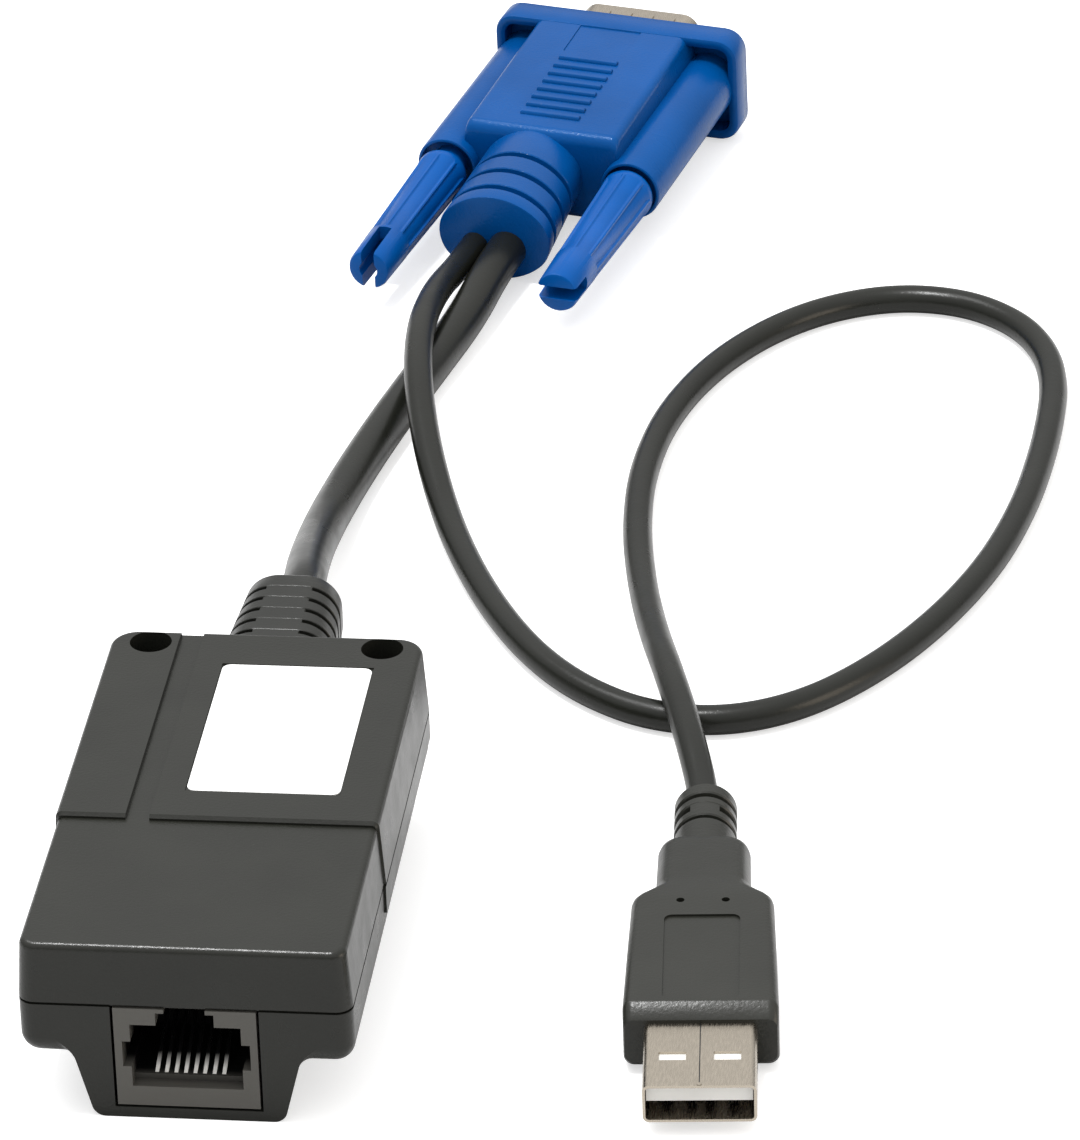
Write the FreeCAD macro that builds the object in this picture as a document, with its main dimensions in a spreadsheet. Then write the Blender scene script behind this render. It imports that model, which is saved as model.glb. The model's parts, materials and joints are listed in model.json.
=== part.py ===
import FreeCAD, Part
import math
import operator
import os
import Sketcher

# Parametric model of a KVM dongle: a server module with an RJ45 socket, a moulded VGA plug and a USB plug.
# Millimetres, +Z up. The origin is the middle of the module's footprint on the surface it stands on.
# The RJ45 socket faces -Y, and the video cable leaves the module towards +Y.

os.makedirs("parts", exist_ok=True)
doc = FreeCAD.newDocument("kvm_dongle")
V = FreeCAD.Vector
LAP = 0.4  # how deep a feature bites into the one that carries it
OVER = 1.0  # how far a cutter stands clear of what it cuts

# ---------------------------------------------------------------- driving dimensions

DIMENSIONS = [
    # module housing
    ("housing_length", 66.0, "module, front face to back face"),
    ("housing_width", 36.0, "module width at the parting line"),
    ("front_height", 21.0, "top of the front deck above the table"),
    ("split_height", 13.6, "parting line between the shells"),
    ("wing_height", 7.05, "underside of the side wings"),
    ("wing_reach", 5.85, "how far the wings stand out past the keel"),
    ("keel_taper", 1.8, "how much the keel narrows on each side, down to the table"),
    ("housing_wall", 1.6, "wall of both shells"),
    ("side_draft", 3.6, "draft of the upper shell's sides, degrees"),
    ("front_corner", 1.8, "radius of the front upright corners"),
    ("rear_corner", 3.0, "radius of the rear upright corners"),
    ("deck_edge", 0.8, "rounding round the top"),
    ("deck_bevel", 0.35, "bevel along the front of the raised rear deck"),
    ("seam_height", 0.3, "groove round the parting line, height"),
    ("seam_depth", 0.3, "groove round the parting line, depth"),
    ("wing_corner", 2.4, "rounding under the wings"),
    ("keel_corner", 1.5, "rounding along the keel"),
    ("step_from_front", 25.8, "where the raised rear deck begins"),
    ("deck_rise", 0.6, "height of the raised rear deck"),
    ("side_rise", 0.25, "how far the rear stands proud at the sides"),
    ("band_height", 3.2, "reach of the side step below the parting line"),
    ("channel_centre", -8.6, "wire channel in the rear deck, from the middle"),
    ("channel_width", 2.6, "wire channel width"),
    # housing screws
    ("screw_side_inset", 5.0, "housing screws, in from the housing's sides"),
    ("screw_inset", 2.75, "housing screws, from the back face"),
    ("recess_bore", 4.7, "screw recess diameter"),
    ("recess_floor", 1.6, "thickness under the screw head"),
    ("screw_bore", 2.3, "screw thread diameter"),
    ("screw_head", 3.9, "screw head diameter"),
    ("screw_head_height", 1.5, "screw head height"),
    ("screw_tip_room", 0.3, "room under the screw's tip"),
    ("boss_wall", 1.1, "wall round the recess and the pilot hole"),
    # label
    ("label_width", 16.7, "label, across"),
    ("label_length", 27.4, "label, along"),
    ("label_centre", 4.2, "label centre, from the middle"),
    ("label_from_step", 5.6, "label edge, behind the step"),
    ("label_thick", 0.12, "label thickness"),
    # socket
    ("jack_width", 15.2, "socket body width"),
    ("jack_height", 13.05, "socket body height"),
    ("jack_depth", 16.0, "socket body depth"),
    ("jack_base", 1.55, "socket underside above the table"),
    ("jack_gap", 0.3, "seam round the socket"),
    ("port_half", 5.9, "half width of the plug opening"),
    ("port_floor", 2.35, "opening floor above the socket's underside"),
    ("port_roof", 9.95, "opening roof above the socket's underside"),
    ("port_depth", 11.5, "depth of the plug opening"),
    ("port_rebate", 0.9, "side rebate of the opening"),
    ("rebate_foot", 2.4, "side rebate, from the opening floor"),
    ("rebate_head", 2.1, "side rebate, from the opening roof"),
    ("latch_half", 3.1, "half width of the latch slot"),
    ("latch_rise", 1.5, "latch slot above the opening roof"),
    ("contact_pitch", 1.02, "socket contact pitch"),
    ("contact_wire", 0.4, "socket contact wire width"),
    ("contact_count", 8, "socket contacts"),
    ("contact_setback", 0.3, "socket contacts, behind the edge of the inner floor"),
    ("contact_foot", 0.9, "flat start of the socket contacts"),
    ("screw_play", 0.3, "play of the screw in the upper shell"),
    ("pin_hole", 2.0, "hole for the board pins"),
    ("pin_rise", 1.2, "board pins above the board"),
    ("label_recess", 0.15, "label recess depth"),
    ("label_margin", 0.12, "label recess round the label"),
    ("label_corner", 1.0, "label corner radius"),
    ("lead_share", 0.375, "inner lead diameter, as a share of the room over the board"),
    ("lead_pitch", 1.9, "inner leads, centre to centre"),
    ("lead_count", 5, "inner leads"),
    ("seam", 0.1, "seam between the socket and the upper shell"),
    ("ledge_rise", 0.7, "inner floor of the opening above its front floor"),
    ("ledge_setback", 1.5, "inner floor behind the socket face"),
    ("notch_half", 2.2, "half width of the latch notch"),
    ("notch_depth", 1.2, "depth of the latch notch"),
    ("contact_rise", 3.1, "contact springs, rise over their length"),
    ("slot_waist", 1.6, "boot slots, depth at mid height"),
    ("slot_top", 0.5, "boot slots, depth at the top"),
    # board
    ("board_gap", 0.65, "board edge to the housing's inner side"),
    ("board_length", 52.0, "board length"),
    ("board_thick", 1.6, "board thickness"),
    ("board_setback", 2.2, "board edge behind the front face"),
    ("post_bore", 4.0, "board post diameter"),
    ("post_inset", 3.5, "board posts, in from the board's side edges"),
    ("post_spacing", 36.0, "board posts, along"),
    ("chip_side", 12.0, "main chip side"),
    ("chip_share", 0.44, "chip height, as a share of the room over the board"),
    ("crystal_width", 3.6, "crystal can width"),
    ("crystal_length", 8.6, "crystal can length"),
    ("crystal_inset", 4.4, "crystal can centre, in from the board's edge"),
    ("crystal_share", 0.69, "crystal can height, as a share of the room over the board"),
    ("header_length", 4.4, "wire header length"),
    ("header_share", 0.81, "wire header height, as a share of the room over the board"),
    ("header_inset", 0.8, "wire header, in from the board's back edge"),
    ("chip_offset", 1.0, "main chip, behind the board's middle"),
    ("driver_length", 9.9, "line driver length"),
    ("driver_width", 6.0, "line driver width"),
    ("driver_offset", 13.0, "line driver, in front of the board's middle"),
    # boot
    ("boot_length", 18.0, "strain relief boot outside the housing"),
    ("boot_base_width", 12.9, "boot width at the housing"),
    ("boot_base_height", 11.4, "boot height at the housing"),
    ("boot_end_width", 11.0, "boot width at the cable end"),
    ("boot_end_height", 10.0, "boot height at the cable end"),
    ("boot_round", 3.9, "rounding along the boot"),
    ("boot_drop", 7.4, "boot axis below the rear deck"),
    ("neck_width", 9.6, "boot neck in the back wall, across"),
    ("neck_height", 8.6, "boot neck in the back wall, up"),
    ("neck_gap", 0.1, "play round the boot neck"),
    ("collar_width", 12.4, "boot collar inside the housing, across"),
    ("collar_height", 9.8, "boot collar inside the housing, up"),
    ("collar_depth", 2.4, "boot collar inside the housing, along"),
    ("slot_count", 5, "boot slots"),
    ("slot_pitch", 2.7, "boot slots, centre to centre"),
    ("slot_width", 0.8, "boot slot width"),
    ("slot_depth", 2.9, "boot slots, in from each side"),
    ("slot_inset", 3.4, "last slot, from the boot's end"),
    # cables
    ("video_bore", 5.0, "video cable diameter"),
    ("usb_bore", 3.5, "USB cable diameter"),
    ("video_exit", 1.8, "video cable in the relief, to the right"),
    ("usb_exit", 2.6, "USB cable in the relief, to the left"),
    ("exit_drop", 1.2, "both cables in the relief, below its axis"),
    # VGA plug
    ("plug_east", 20.9, "VGA plug face centre, east of the origin"),
    ("plug_north", 211.7, "VGA plug face centre, north of the origin"),
    ("plug_turn", -13.46, "VGA plug heading, degrees"),
    ("plug_tilt", 2.3, "VGA plug, nose up, degrees"),
    ("flange_width", 34.6, "hood flange width"),
    ("flange_height", 14.6, "hood flange height"),
    ("flange_depth", 4.4, "hood flange depth"),
    ("flange_rim", 1.3, "hood flange rim"),
    ("flange_pocket", 2.7, "depth of the pockets behind the flange"),
    ("flange_corner", 2.8, "hood flange corner radius"),
    ("hood_length", 32.0, "hood body behind the flange face"),
    ("hood_half", 9.5, "half width of the hood's top"),
    ("hood_belly", 1.3, "how far the hood bulges at mid height"),
    ("hood_height", 12.4, "hood body height"),
    ("hood_edge", 0.7, "rounding along the hood"),
    ("hood_bevel", 1.0, "bevel across the hood's back"),
    ("hood_step", 0.1, "flange edge above the hood's top"),
    ("hood_lap", 0.34, "how far the hood's body bites into the flange"),
    ("screw_pitch", 24.99, "thumbscrews, centre to centre"),
    ("sleeve_bore", 8.0, "sleeve outer diameter"),
    ("sleeve_length", 33.5, "sleeve behind the flange face"),
    ("sleeve_hole", 4.6, "sleeve bore"),
    ("sleeve_mouth", 7.1, "counterbore at the sleeve's end"),
    ("mouth_depth", 1.5, "depth of that counterbore"),
    ("ridge_count", 8, "grip ridges on each face"),
    ("ridge_pitch", 2.1, "grip ridges, centre to centre"),
    ("ridge_first", 13.2, "first ridge behind the flange face"),
    ("ridge_length", 8.0, "grip ridge length"),
    ("ridge_width", 1.0, "grip ridge width"),
    ("ridge_rise", 0.4, "grip ridge height"),
    ("relief_length", 18.0, "hood strain relief length"),
    ("relief_width", 16.6, "hood strain relief width"),
    ("relief_height", 11.2, "hood strain relief height"),
    ("relief_groove", 0.8, "relief groove width"),
    ("relief_groove_depth", 0.7, "relief groove depth"),
    ("relief_side", 3.6, "radius of the relief's sides"),
    ("relief_groove_count", 3, "relief grooves"),
    ("shell_plate_width", 30.8, "connector plate width"),
    ("shell_plate_height", 12.4, "connector plate height"),
    ("shell_plate_thick", 0.8, "connector plate thickness"),
    ("dee_width", 16.9, "D shell, long side"),
    ("dee_height", 8.36, "D shell height"),
    ("dee_reach", 6.7, "D shell in front of the plate"),
    ("dee_wall", 0.4, "D shell sheet"),
    ("dee_slope", 10.0, "D shell side slope, degrees"),
    ("pin_bore", 0.78, "contact pin diameter"),
    ("pin_pitch", 2.29, "contact pins, along a row"),
    ("row_pitch", 1.98, "contact pin rows"),
    ("pin_reach", 6.0, "contact pins in front of the plate"),
    ("pin_root", 1.2, "contact pins behind the flange face"),
    ("dimple_width", 1.7, "raised dimples of the D shell, across"),
    ("dimple_length", 2.2, "raised dimples of the D shell, along"),
    ("dimple_pitch", 3.0, "raised dimples, centre to centre"),
    ("dimple_count", 4, "raised dimples on each face"),
    ("dimple_rise", 0.15, "raised dimples, height"),
    ("dimple_setback", 1.6, "raised dimples, from the D shell's open end"),
    # thumbscrews
    ("knob_length", 27.3, "knob behind the sleeve"),
    ("knob_bore", 6.6, "knob diameter at the sleeve"),
    ("knob_end_bore", 5.3, "knob diameter at its end"),
    ("flute_bore", 0.7, "knob flute diameter"),
    ("driver_slot", 1.7, "screwdriver slot width"),
    ("driver_slot_depth", 6.5, "screwdriver slot depth"),
    ("knob_hole", 2.4, "bore in the knob's end"),
    ("thread_setback", 0.3, "thread, in front of the connector plate"),
    ("shaft_bore", 2.84, "thumbscrew thread diameter"),
    ("shaft_room", 0.6, "play of the thumbscrews in flange and plate, in diameter"),
    ("shank_bore", 2.24, "waisted shank of the thumbscrews"),
    ("shaft_reach", 7.0, "thumbscrew in front of the flange face"),
    ("left_gap", 1.2, "left knob, behind its sleeve"),
    ("right_gap", 0.4, "right knob, behind its sleeve"),
    ("clip_setback", 9.0, "retaining ring behind the flange face"),
    ("clip_width", 2.0, "retaining ring width"),
    ("groove_bore", 3.2, "diameter at the bottom of the ring's groove"),
    ("axle_nose", 1.2, "axle in front of the ring's groove"),
    ("screw_grip", 3.0, "steel screw in the axle, behind the retaining ring"),
    ("running_gap", 0.05, "radial play of what turns or slides"),
    # USB plug
    ("usb_east", 54.0, "USB plug face centre, east of the origin"),
    ("usb_north", -32.6, "USB plug face centre, north of the origin"),
    ("usb_turn", 4.74, "USB plug heading, degrees"),
    ("usb_body_height", 8.0, "USB overmould height"),
    ("usb_body_width", 15.7, "USB overmould width"),
    ("usb_body_length", 20.6, "USB overmould wide part"),
    ("usb_neck_width", 10.1, "USB overmould neck width"),
    ("usb_flare_length", 2.4, "USB overmould flare to the neck"),
    ("usb_neck_length", 8.8, "USB overmould neck"),
    ("usb_relief_length", 10.2, "USB relief length"),
    ("usb_relief_bore", 6.9, "USB relief diameter"),
    ("usb_relief_core", 5.7, "USB relief diameter in its grooves"),
    ("usb_ring_count", 4, "rings of the USB relief"),
    ("usb_shell_width", 12.0, "USB metal shell width"),
    ("usb_shell_height", 4.5, "USB metal shell height"),
    ("usb_shell_reach", 12.15, "USB metal shell in front of the overmould"),
    ("usb_shell_root", 5.0, "USB metal shell inside the overmould"),
    ("usb_sheet", 0.3, "USB metal shell sheet"),
    ("usb_tongue_thick", 1.84, "USB tongue thickness"),
    ("usb_tongue_play", 0.1, "USB tongue, from the shell's sides"),
    ("usb_tongue_setback", 0.5, "USB tongue behind the face"),
    ("usb_tongue_root", 3.0, "block that carries the USB tongue, along"),
    ("usb_window_width", 2.9, "USB shell window width"),
    ("usb_window_length", 1.6, "USB shell window length"),
    ("usb_window_from_face", 5.0, "USB shell window behind the face"),
    ("usb_panel_width", 8.1, "grip panel of the USB overmould, across"),
    ("usb_panel_length", 17.2, "grip panel of the USB overmould, along"),
    ("usb_panel_depth", 0.3, "grip panel of the USB overmould, depth"),
    ("plug_rest", 7.87, "VGA plug axis above the table"),
    ("plate_corner", 2.0, "connector plate corner radius"),
    ("insulator_depth", 7.0, "insulator behind the flange face"),
    ("insulator_step", 0.6, "insulator in front of the connector plate"),
    ("block_side", 0.6, "insulator block past the D shell, across"),
    ("block_over", 0.3, "insulator block past the D shell, up"),
    ("shoulder_setback", 4.4, "shoulder in the sleeve, behind the flange face"),
    ("dee_corner", 2.2, "D shell corner radius"),
    ("knob_chamfer", 0.5, "chamfer of the knob's ends"),
    ("ring_play", 0.1, "play of the retaining ring along its groove"),
    ("usb_corner", 2.2, "rounding along the USB overmould"),
    ("usb_bevel", 0.5, "bevel round the USB overmould's face"),
    ("usb_neck_height", 7.2, "USB overmould neck height"),
    ("usb_cap", 2.2, "last collar of the USB relief"),
    ("usb_ring_groove", 0.8, "grooves of the USB relief"),
    ("usb_shell_corner", 0.7, "rounding along the USB metal shell"),
    ("usb_window_centre", 2.9, "USB shell windows, from the middle"),
    ("usb_strip_width", 1.1, "USB contact strip width"),
    ("usb_strip_thick", 0.15, "USB contact strip thickness"),
    ("usb_strip_spread", 3.5, "outer USB contact strips, from the middle"),
    ("usb_strip_inner", 1.0, "inner USB contact strips, from the middle"),
    ("usb_strip_setback", 1.2, "USB contact strips behind the face"),
]

OPERATIONS = {"+": operator.add, "-": operator.sub, "*": operator.mul, "/": operator.truediv}


class Size:
    """A length in millimetres together with the spreadsheet expression that gives it."""

    def __init__(self, value, text):
        self.value = float(value)
        self.text = text

    def _join(self, other, sign, swap=False):
        other = as_size(other)
        left, right = (other, self) if swap else (self, other)
        value = OPERATIONS[sign](left.value, right.value)
        return Size(value, f"({left.text} {sign} {right.text})")

    def __add__(self, other):
        return self._join(other, "+")

    def __radd__(self, other):
        return self._join(other, "+", swap=True)

    def __sub__(self, other):
        return self._join(other, "-")

    def __rsub__(self, other):
        return self._join(other, "-", swap=True)

    def __mul__(self, other):
        return self._join(other, "*")

    def __rmul__(self, other):
        return self._join(other, "*", swap=True)

    def __truediv__(self, other):
        return self._join(other, "/")

    def __neg__(self):
        return Size(-self.value, f"(-1 * {self.text})")


def as_size(number):
    return number if isinstance(number, Size) else Size(number, repr(float(number)))


def fill_sheet():
    """Write the driving dimensions and hand them back by name."""
    sheet = doc.addObject("Spreadsheet::Sheet", "Dimensions")
    sizes = {}
    for row, (alias, value, note) in enumerate(DIMENSIONS, start=1):
        sheet.set(f"A{row}", note)
        sheet.set(f"B{row}", str(value))
        sheet.setAlias(f"B{row}", alias)
        sizes[alias] = Size(value, f"Dimensions.{alias}")
    doc.recompute()
    return sizes


class Named:
    """Reads the sheet's sizes as attributes."""

    def __init__(self, sizes):
        self.__dict__.update(sizes)


d = Named(fill_sheet())
NOTHING = as_size(0)

# ---------------------------------------------------------------- modelling helpers

PLANES = {"XY": "XY_Plane", "XZ": "XZ_Plane", "YZ": "YZ_Plane"}
PLANE_SIGN = {"XY": 1, "XZ": -1, "YZ": 1}
finished = []


def bind(item, prop, size):
    """Tie one property of an object to the sheet."""
    item.setExpression(prop, as_size(size).text)


def start_body(name):
    body = doc.addObject("PartDesign::Body", name)
    body.Label = name
    finished.append(body)
    return body


def start_sketch(body, plane, offset):
    """An empty sketch on one of the body's origin planes, moved along the world axis by offset."""
    offset = as_size(offset) * PLANE_SIGN[plane]
    sketch = body.newObject("Sketcher::SketchObject", "sketch")
    base = next(f for f in body.Origin.OriginFeatures if f.Role == PLANES[plane])
    sketch.AttachmentSupport = [(base, "")]
    sketch.MapMode = "FlatFace"
    sketch.AttachmentOffset = FreeCAD.Placement(V(0, 0, offset.value), FreeCAD.Rotation())
    bind(sketch, "AttachmentOffset.Base.z", offset)
    return sketch


def fix_point(sketch, geometry, vertex, point):
    for kind, size in zip(("DistanceX", "DistanceY"), point):
        size = as_size(size)
        index = sketch.addConstraint(Sketcher.Constraint(kind, -1, 1, geometry, vertex, size.value))
        bind(sketch, f"Constraints[{index}]", size)


def polygon(body, plane, offset, *outlines):
    """A sketch of closed outlines with every corner tied to the sheet."""
    sketch = start_sketch(body, plane, offset)
    for corners in outlines:
        corners = [(as_size(x), as_size(y)) for x, y in corners]
        first = sketch.GeometryCount
        count = len(corners)
        for here, there in zip(corners, corners[1:] + corners[:1]):
            start = V(here[0].value, here[1].value, 0)
            end = V(there[0].value, there[1].value, 0)
            sketch.addGeometry(Part.LineSegment(start, end), False)
        for side in range(count):
            joint = Sketcher.Constraint("Coincident", first + side, 2, first + (side + 1) % count, 1)
            sketch.addConstraint(joint)
        for side, corner in enumerate(corners):
            fix_point(sketch, first + side, 1, corner)
    return sketch


def circles(body, plane, offset, centres, diameter):
    """A sketch of equal circles."""
    sketch = start_sketch(body, plane, offset)
    diameter = as_size(diameter)
    for x, y in centres:
        x, y = as_size(x), as_size(y)
        index = sketch.addGeometry(Part.Circle(V(x.value, y.value, 0), V(0, 0, 1), diameter.value / 2), False)
        fix_point(sketch, index, 3, (x, y))
        size = sketch.addConstraint(Sketcher.Constraint("Diameter", index, diameter.value))
        bind(sketch, f"Constraints[{size}]", diameter)
    return sketch


def corners_of(left, right, low, high):
    return [(left, low), (right, low), (right, high), (left, high)]


def extrude(body, kind, sketch, plane, length, forward=True, draft=None):
    """Pad or Pocket along the sketch's world axis; forward is towards + of that axis."""
    feature = body.newObject("PartDesign::" + kind, kind.lower())
    feature.Profile = sketch
    bind(feature, "Length", length)
    normal_is_forward = PLANE_SIGN[plane] > 0
    if kind == "Pocket":
        normal_is_forward = not normal_is_forward
    feature.Reversed = normal_is_forward != forward
    if draft is not None:
        bind(feature, "TaperAngle", draft)
    return feature


def pad(body, sketch, plane, length, forward=True, draft=None):
    return extrude(body, "Pad", sketch, plane, length, forward, draft)


def pocket(body, sketch, plane, length, forward=True):
    return extrude(body, "Pocket", sketch, plane, length, forward)


def soften(body, kind, size, wanted):
    """Fillet or Chamfer the edges of the body's present solid that wanted(edge) picks."""
    doc.recompute()
    base = body.Tip
    names = [f"Edge{i}" for i, edge in enumerate(base.Shape.Edges, start=1) if wanted(edge)]
    if not names:
        raise ValueError(f"{body.Label}: no edge to {kind.lower()}")
    feature = body.newObject("PartDesign::" + kind, kind.lower())
    feature.Base = (base, names)
    bind(feature, "Radius" if kind == "Fillet" else "Size", size)
    return feature


def near(value, size, slack=0.02):
    return abs(value - as_size(size).value) < slack


def runs_along(edge, axis, slack=0.999):
    """Whether a straight edge runs along the axis; slack 0.9 allows a drafted one."""
    if len(edge.Vertexes) != 2 or not isinstance(edge.Curve, Part.Line):
        return False
    return abs(edge.tangentAt(edge.FirstParameter).dot(axis)) > slack


def middle(edge):
    return edge.valueAt((edge.FirstParameter + edge.LastParameter) / 2)


def repeat(body, features, direction, pitch, count):
    """Repeat features along one of the body's origin axes."""
    pattern = body.newObject("PartDesign::LinearPattern", "pattern")
    pattern.Originals = features
    axis = next(f for f in body.Origin.OriginFeatures if f.Role == direction)
    pattern.Direction = (axis, [""])
    pattern.Mode = "Spacing"
    bind(pattern, "Offset", pitch)
    bind(pattern, "Occurrences", count)
    body.Tip = pattern
    return pattern


def place(item, east, north, up, turn=None, tilt=None):
    """Stand an object modelled round its own origin in the world."""
    heading = FreeCAD.Rotation(V(0, 0, 1), turn.value if turn else 0)
    nose_up = FreeCAD.Rotation(V(1, 0, 0), tilt.value if tilt else 0)
    item.Placement = FreeCAD.Placement(V(), heading.multiply(nose_up))
    for letter, size in zip("xyz", (east, north, up)):
        bind(item, f"Placement.Base.{letter}", size)


X_AXIS, Y_AXIS, Z_AXIS = V(1, 0, 0), V(0, 1, 0), V(0, 0, 1)

# ---------------------------------------------------------------- places used by several pieces

front = -d.housing_length / 2
back = d.housing_length / 2
half_width = d.housing_width / 2
step = front + d.step_from_front
rear_top = d.front_height + d.deck_rise
inner_half = half_width - d.side_rise - d.housing_wall
wing_floor = d.wing_height + d.housing_wall
screw_y = back - d.screw_inset
screw_x = half_width - d.screw_side_inset
screw_places = [(-screw_x, screw_y), (screw_x, screw_y)]
jack_half = d.jack_width / 2
jack_top = d.jack_base + d.jack_height
board_top = jack_top + d.board_thick
board_front = front + d.board_setback
boot_end = back + d.boot_length

front_half = half_width - d.side_rise
keel_top_half = front_half - d.wing_reach
keel_foot_half = keel_top_half - d.keel_taper
keel_inner_half = keel_foot_half - d.housing_wall
lean = math.tan(math.radians(d.side_draft.value))
boot_axis = rear_top - d.boot_drop
collar_front = back - d.housing_wall - d.collar_depth


def rounded(body, plane, offset, left, right, low, high, radius):
    """A sketch of a rectangle with rounded corners, all tied to the sheet."""
    sketch = start_sketch(body, plane, offset)
    left, right, low, high, radius = (as_size(size) for size in (left, right, low, high, radius))
    sides = [
        ((left + radius, low), (right - radius, low)),
        ((right, low + radius), (right, high - radius)),
        ((right - radius, high), (left + radius, high)),
        ((left, high - radius), (left, low + radius)),
    ]
    centres = [
        (right - radius, low + radius),
        (right - radius, high - radius),
        (left + radius, high - radius),
        (left + radius, low + radius),
    ]
    for start, end in sides:
        line = Part.LineSegment(V(start[0].value, start[1].value, 0), V(end[0].value, end[1].value, 0))
        sketch.addGeometry(line, False)
    for turn, (x, y) in enumerate(centres):
        circle = Part.Circle(V(x.value, y.value, 0), V(0, 0, 1), radius.value)
        begin = (turn - 1) * math.pi / 2
        sketch.addGeometry(Part.ArcOfCircle(circle, begin, begin + math.pi / 2), False)
    for side in range(4):
        arc = 4 + side
        sketch.addConstraint(Sketcher.Constraint("Coincident", side, 2, arc, 1))
        sketch.addConstraint(Sketcher.Constraint("Coincident", arc, 2, (side + 1) % 4, 1))
        fix_point(sketch, side, 1, sides[side][0])
        fix_point(sketch, side, 2, sides[side][1])
        x = centres[side][0]
        index = sketch.addConstraint(Sketcher.Constraint("DistanceX", -1, 1, arc, 3, x.value))
        bind(sketch, f"Constraints[{index}]", x)
    return sketch


def oval(body, plane, offset, width, height, radius, rise=NOTHING):
    """A rounded rectangle round the sketch's origin, or above it by rise."""
    width, height, rise = as_size(width), as_size(height), as_size(rise)
    return rounded(body, plane, offset, -width / 2, width / 2, rise - height / 2, rise + height / 2, radius)


def arched(body, plane, offset, width, height, side_radius):
    """A flattened oval of four tangent arcs round the sketch's origin."""
    sketch = start_sketch(body, plane, offset)
    side = width / 2 - side_radius
    rest = height / 2 - side_radius
    drop = (side * side - rest * rest) / (rest * 2)
    span = rest + drop
    x = side + side_radius * side / span
    y = side_radius * drop / span
    joints = [(x, -y), (x, y), (-x, y), (-x, -y)]
    centres = [(side, NOTHING), (NOTHING, -drop), (-side, NOTHING), (NOTHING, drop)]
    for turn, centre in enumerate(centres):
        hub = V(centre[0].value, centre[1].value, 0)
        first, last = (V(u.value, v.value, 0) - hub for u, v in (joints[turn], joints[(turn + 1) % 4]))
        circle = Part.Circle(hub, V(0, 0, 1), first.Length)
        begin, end = math.atan2(first.y, first.x), math.atan2(last.y, last.x)
        sketch.addGeometry(Part.ArcOfCircle(circle, begin, end), False)
    for turn, centre in enumerate(centres):
        sketch.addConstraint(Sketcher.Constraint("Coincident", turn, 2, (turn + 1) % 4, 1))
        fix_point(sketch, turn, 1, joints[turn])
        kind, size = ("DistanceX", centre[0]) if turn % 2 == 0 else ("DistanceY", centre[1])
        index = sketch.addConstraint(Sketcher.Constraint(kind, -1, 1, turn, 3, size.value))
        bind(sketch, f"Constraints[{index}]", size)
    return sketch


def box(body, kind, left, right, near_y, far_y, low, high):
    """Add (Pad) or take away (Pocket) a box."""
    sketch = polygon(body, "XY", low, corners_of(left, right, near_y, far_y))
    return extrude(body, kind, sketch, "XY", high - low, True)


def loft(body, first, second):
    feature = body.newObject("PartDesign::AdditiveLoft", "loft")
    feature.Profile = first
    feature.Sections = [second]
    feature.Ruled = True
    return feature


# ---------------------------------------------------------------- upper shell: sides, top, corners, hollow

roof = d.front_height - d.housing_wall
board_half = inner_half - d.board_gap
board_middle = board_front + d.board_length / 2
headroom = roof - board_top
post_places = [
    (x, y)
    for x in (d.post_inset - board_half, board_half - d.post_inset)
    for y in (board_middle - d.post_spacing / 2, board_middle + d.post_spacing / 2)
]
hollow_front = front + d.housing_wall
hollow_back = back - d.housing_wall
recess_base = d.split_height + d.recess_floor
groove_top = d.split_height + d.seam_height


def deck_outline(half, top):
    """Section of the upper shell above the groove at the parting line, leaning in to the top."""
    narrow = half - (top - d.split_height) * lean
    return [(-half, groove_top), (half, groove_top), (narrow, top), (-narrow, top)]


upper = start_body("upper_shell")
front_part = polygon(upper, "XZ", front, deck_outline(front_half, d.front_height))
pad(upper, front_part, "XZ", d.step_from_front + LAP)
rear_part = polygon(upper, "XZ", step, deck_outline(half_width, rear_top))
pad(upper, rear_part, "XZ", back - step)


def is_corner(edge, y):
    return runs_along(edge, Z_AXIS, 0.99) and near(middle(edge).y, y) and abs(middle(edge).x) > 10


soften(upper, "Fillet", d.front_corner, lambda edge: is_corner(edge, front))
soften(upper, "Fillet", d.rear_corner, lambda edge: is_corner(edge, back))


def is_rim(edge):
    point = middle(edge)
    if near(point.z, rear_top) and near(point.y, step) and runs_along(edge, X_AXIS):
        return False
    if near(point.z, d.front_height):
        return not near(point.y, step, 0.6)
    return near(point.z, rear_top)


soften(upper, "Fillet", d.deck_edge, is_rim)
soften(
    upper,
    "Chamfer",
    d.deck_bevel,
    lambda edge: runs_along(edge, X_AXIS) and near(middle(edge).y, step) and near(middle(edge).z, rear_top),
)
foot_half = front_half - d.seam_depth
foot_ends = (front + d.seam_depth, back - d.seam_depth)
foot = rounded(upper, "XY", d.split_height, -foot_half, foot_half, *foot_ends, d.front_corner)
pad(upper, foot, "XY", d.seam_height + LAP)
box(upper, "Pocket", -inner_half, inner_half, hollow_front, hollow_back, d.split_height, roof)
boss_half = d.recess_bore / 2 + d.boss_wall
for x, y in screw_places:
    boss_place = (x - boss_half, x + boss_half, y - boss_half, hollow_back + LAP)
    box(upper, "Pad", *boss_place, d.split_height, roof + LAP)
upper_posts = circles(upper, "XY", board_top, post_places, d.post_bore)
pad(upper, upper_posts, "XY", roof + LAP - board_top)
post_holes = circles(upper, "XY", board_top, post_places, d.pin_hole)
pocket(upper, post_holes, "XY", d.pin_rise)
recesses = circles(upper, "XY", recess_base, screw_places, d.recess_bore)
pocket(upper, recesses, "XY", rear_top + OVER - recess_base)
screw_holes = circles(upper, "XY", d.split_height - OVER, screw_places, d.screw_bore + d.screw_play)
pocket(upper, screw_holes, "XY", recess_base + OVER * 2 - d.split_height)
neck_half = d.neck_width / 2 + d.neck_gap
neck_low = boot_axis - d.neck_height / 2 - d.neck_gap
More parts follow.
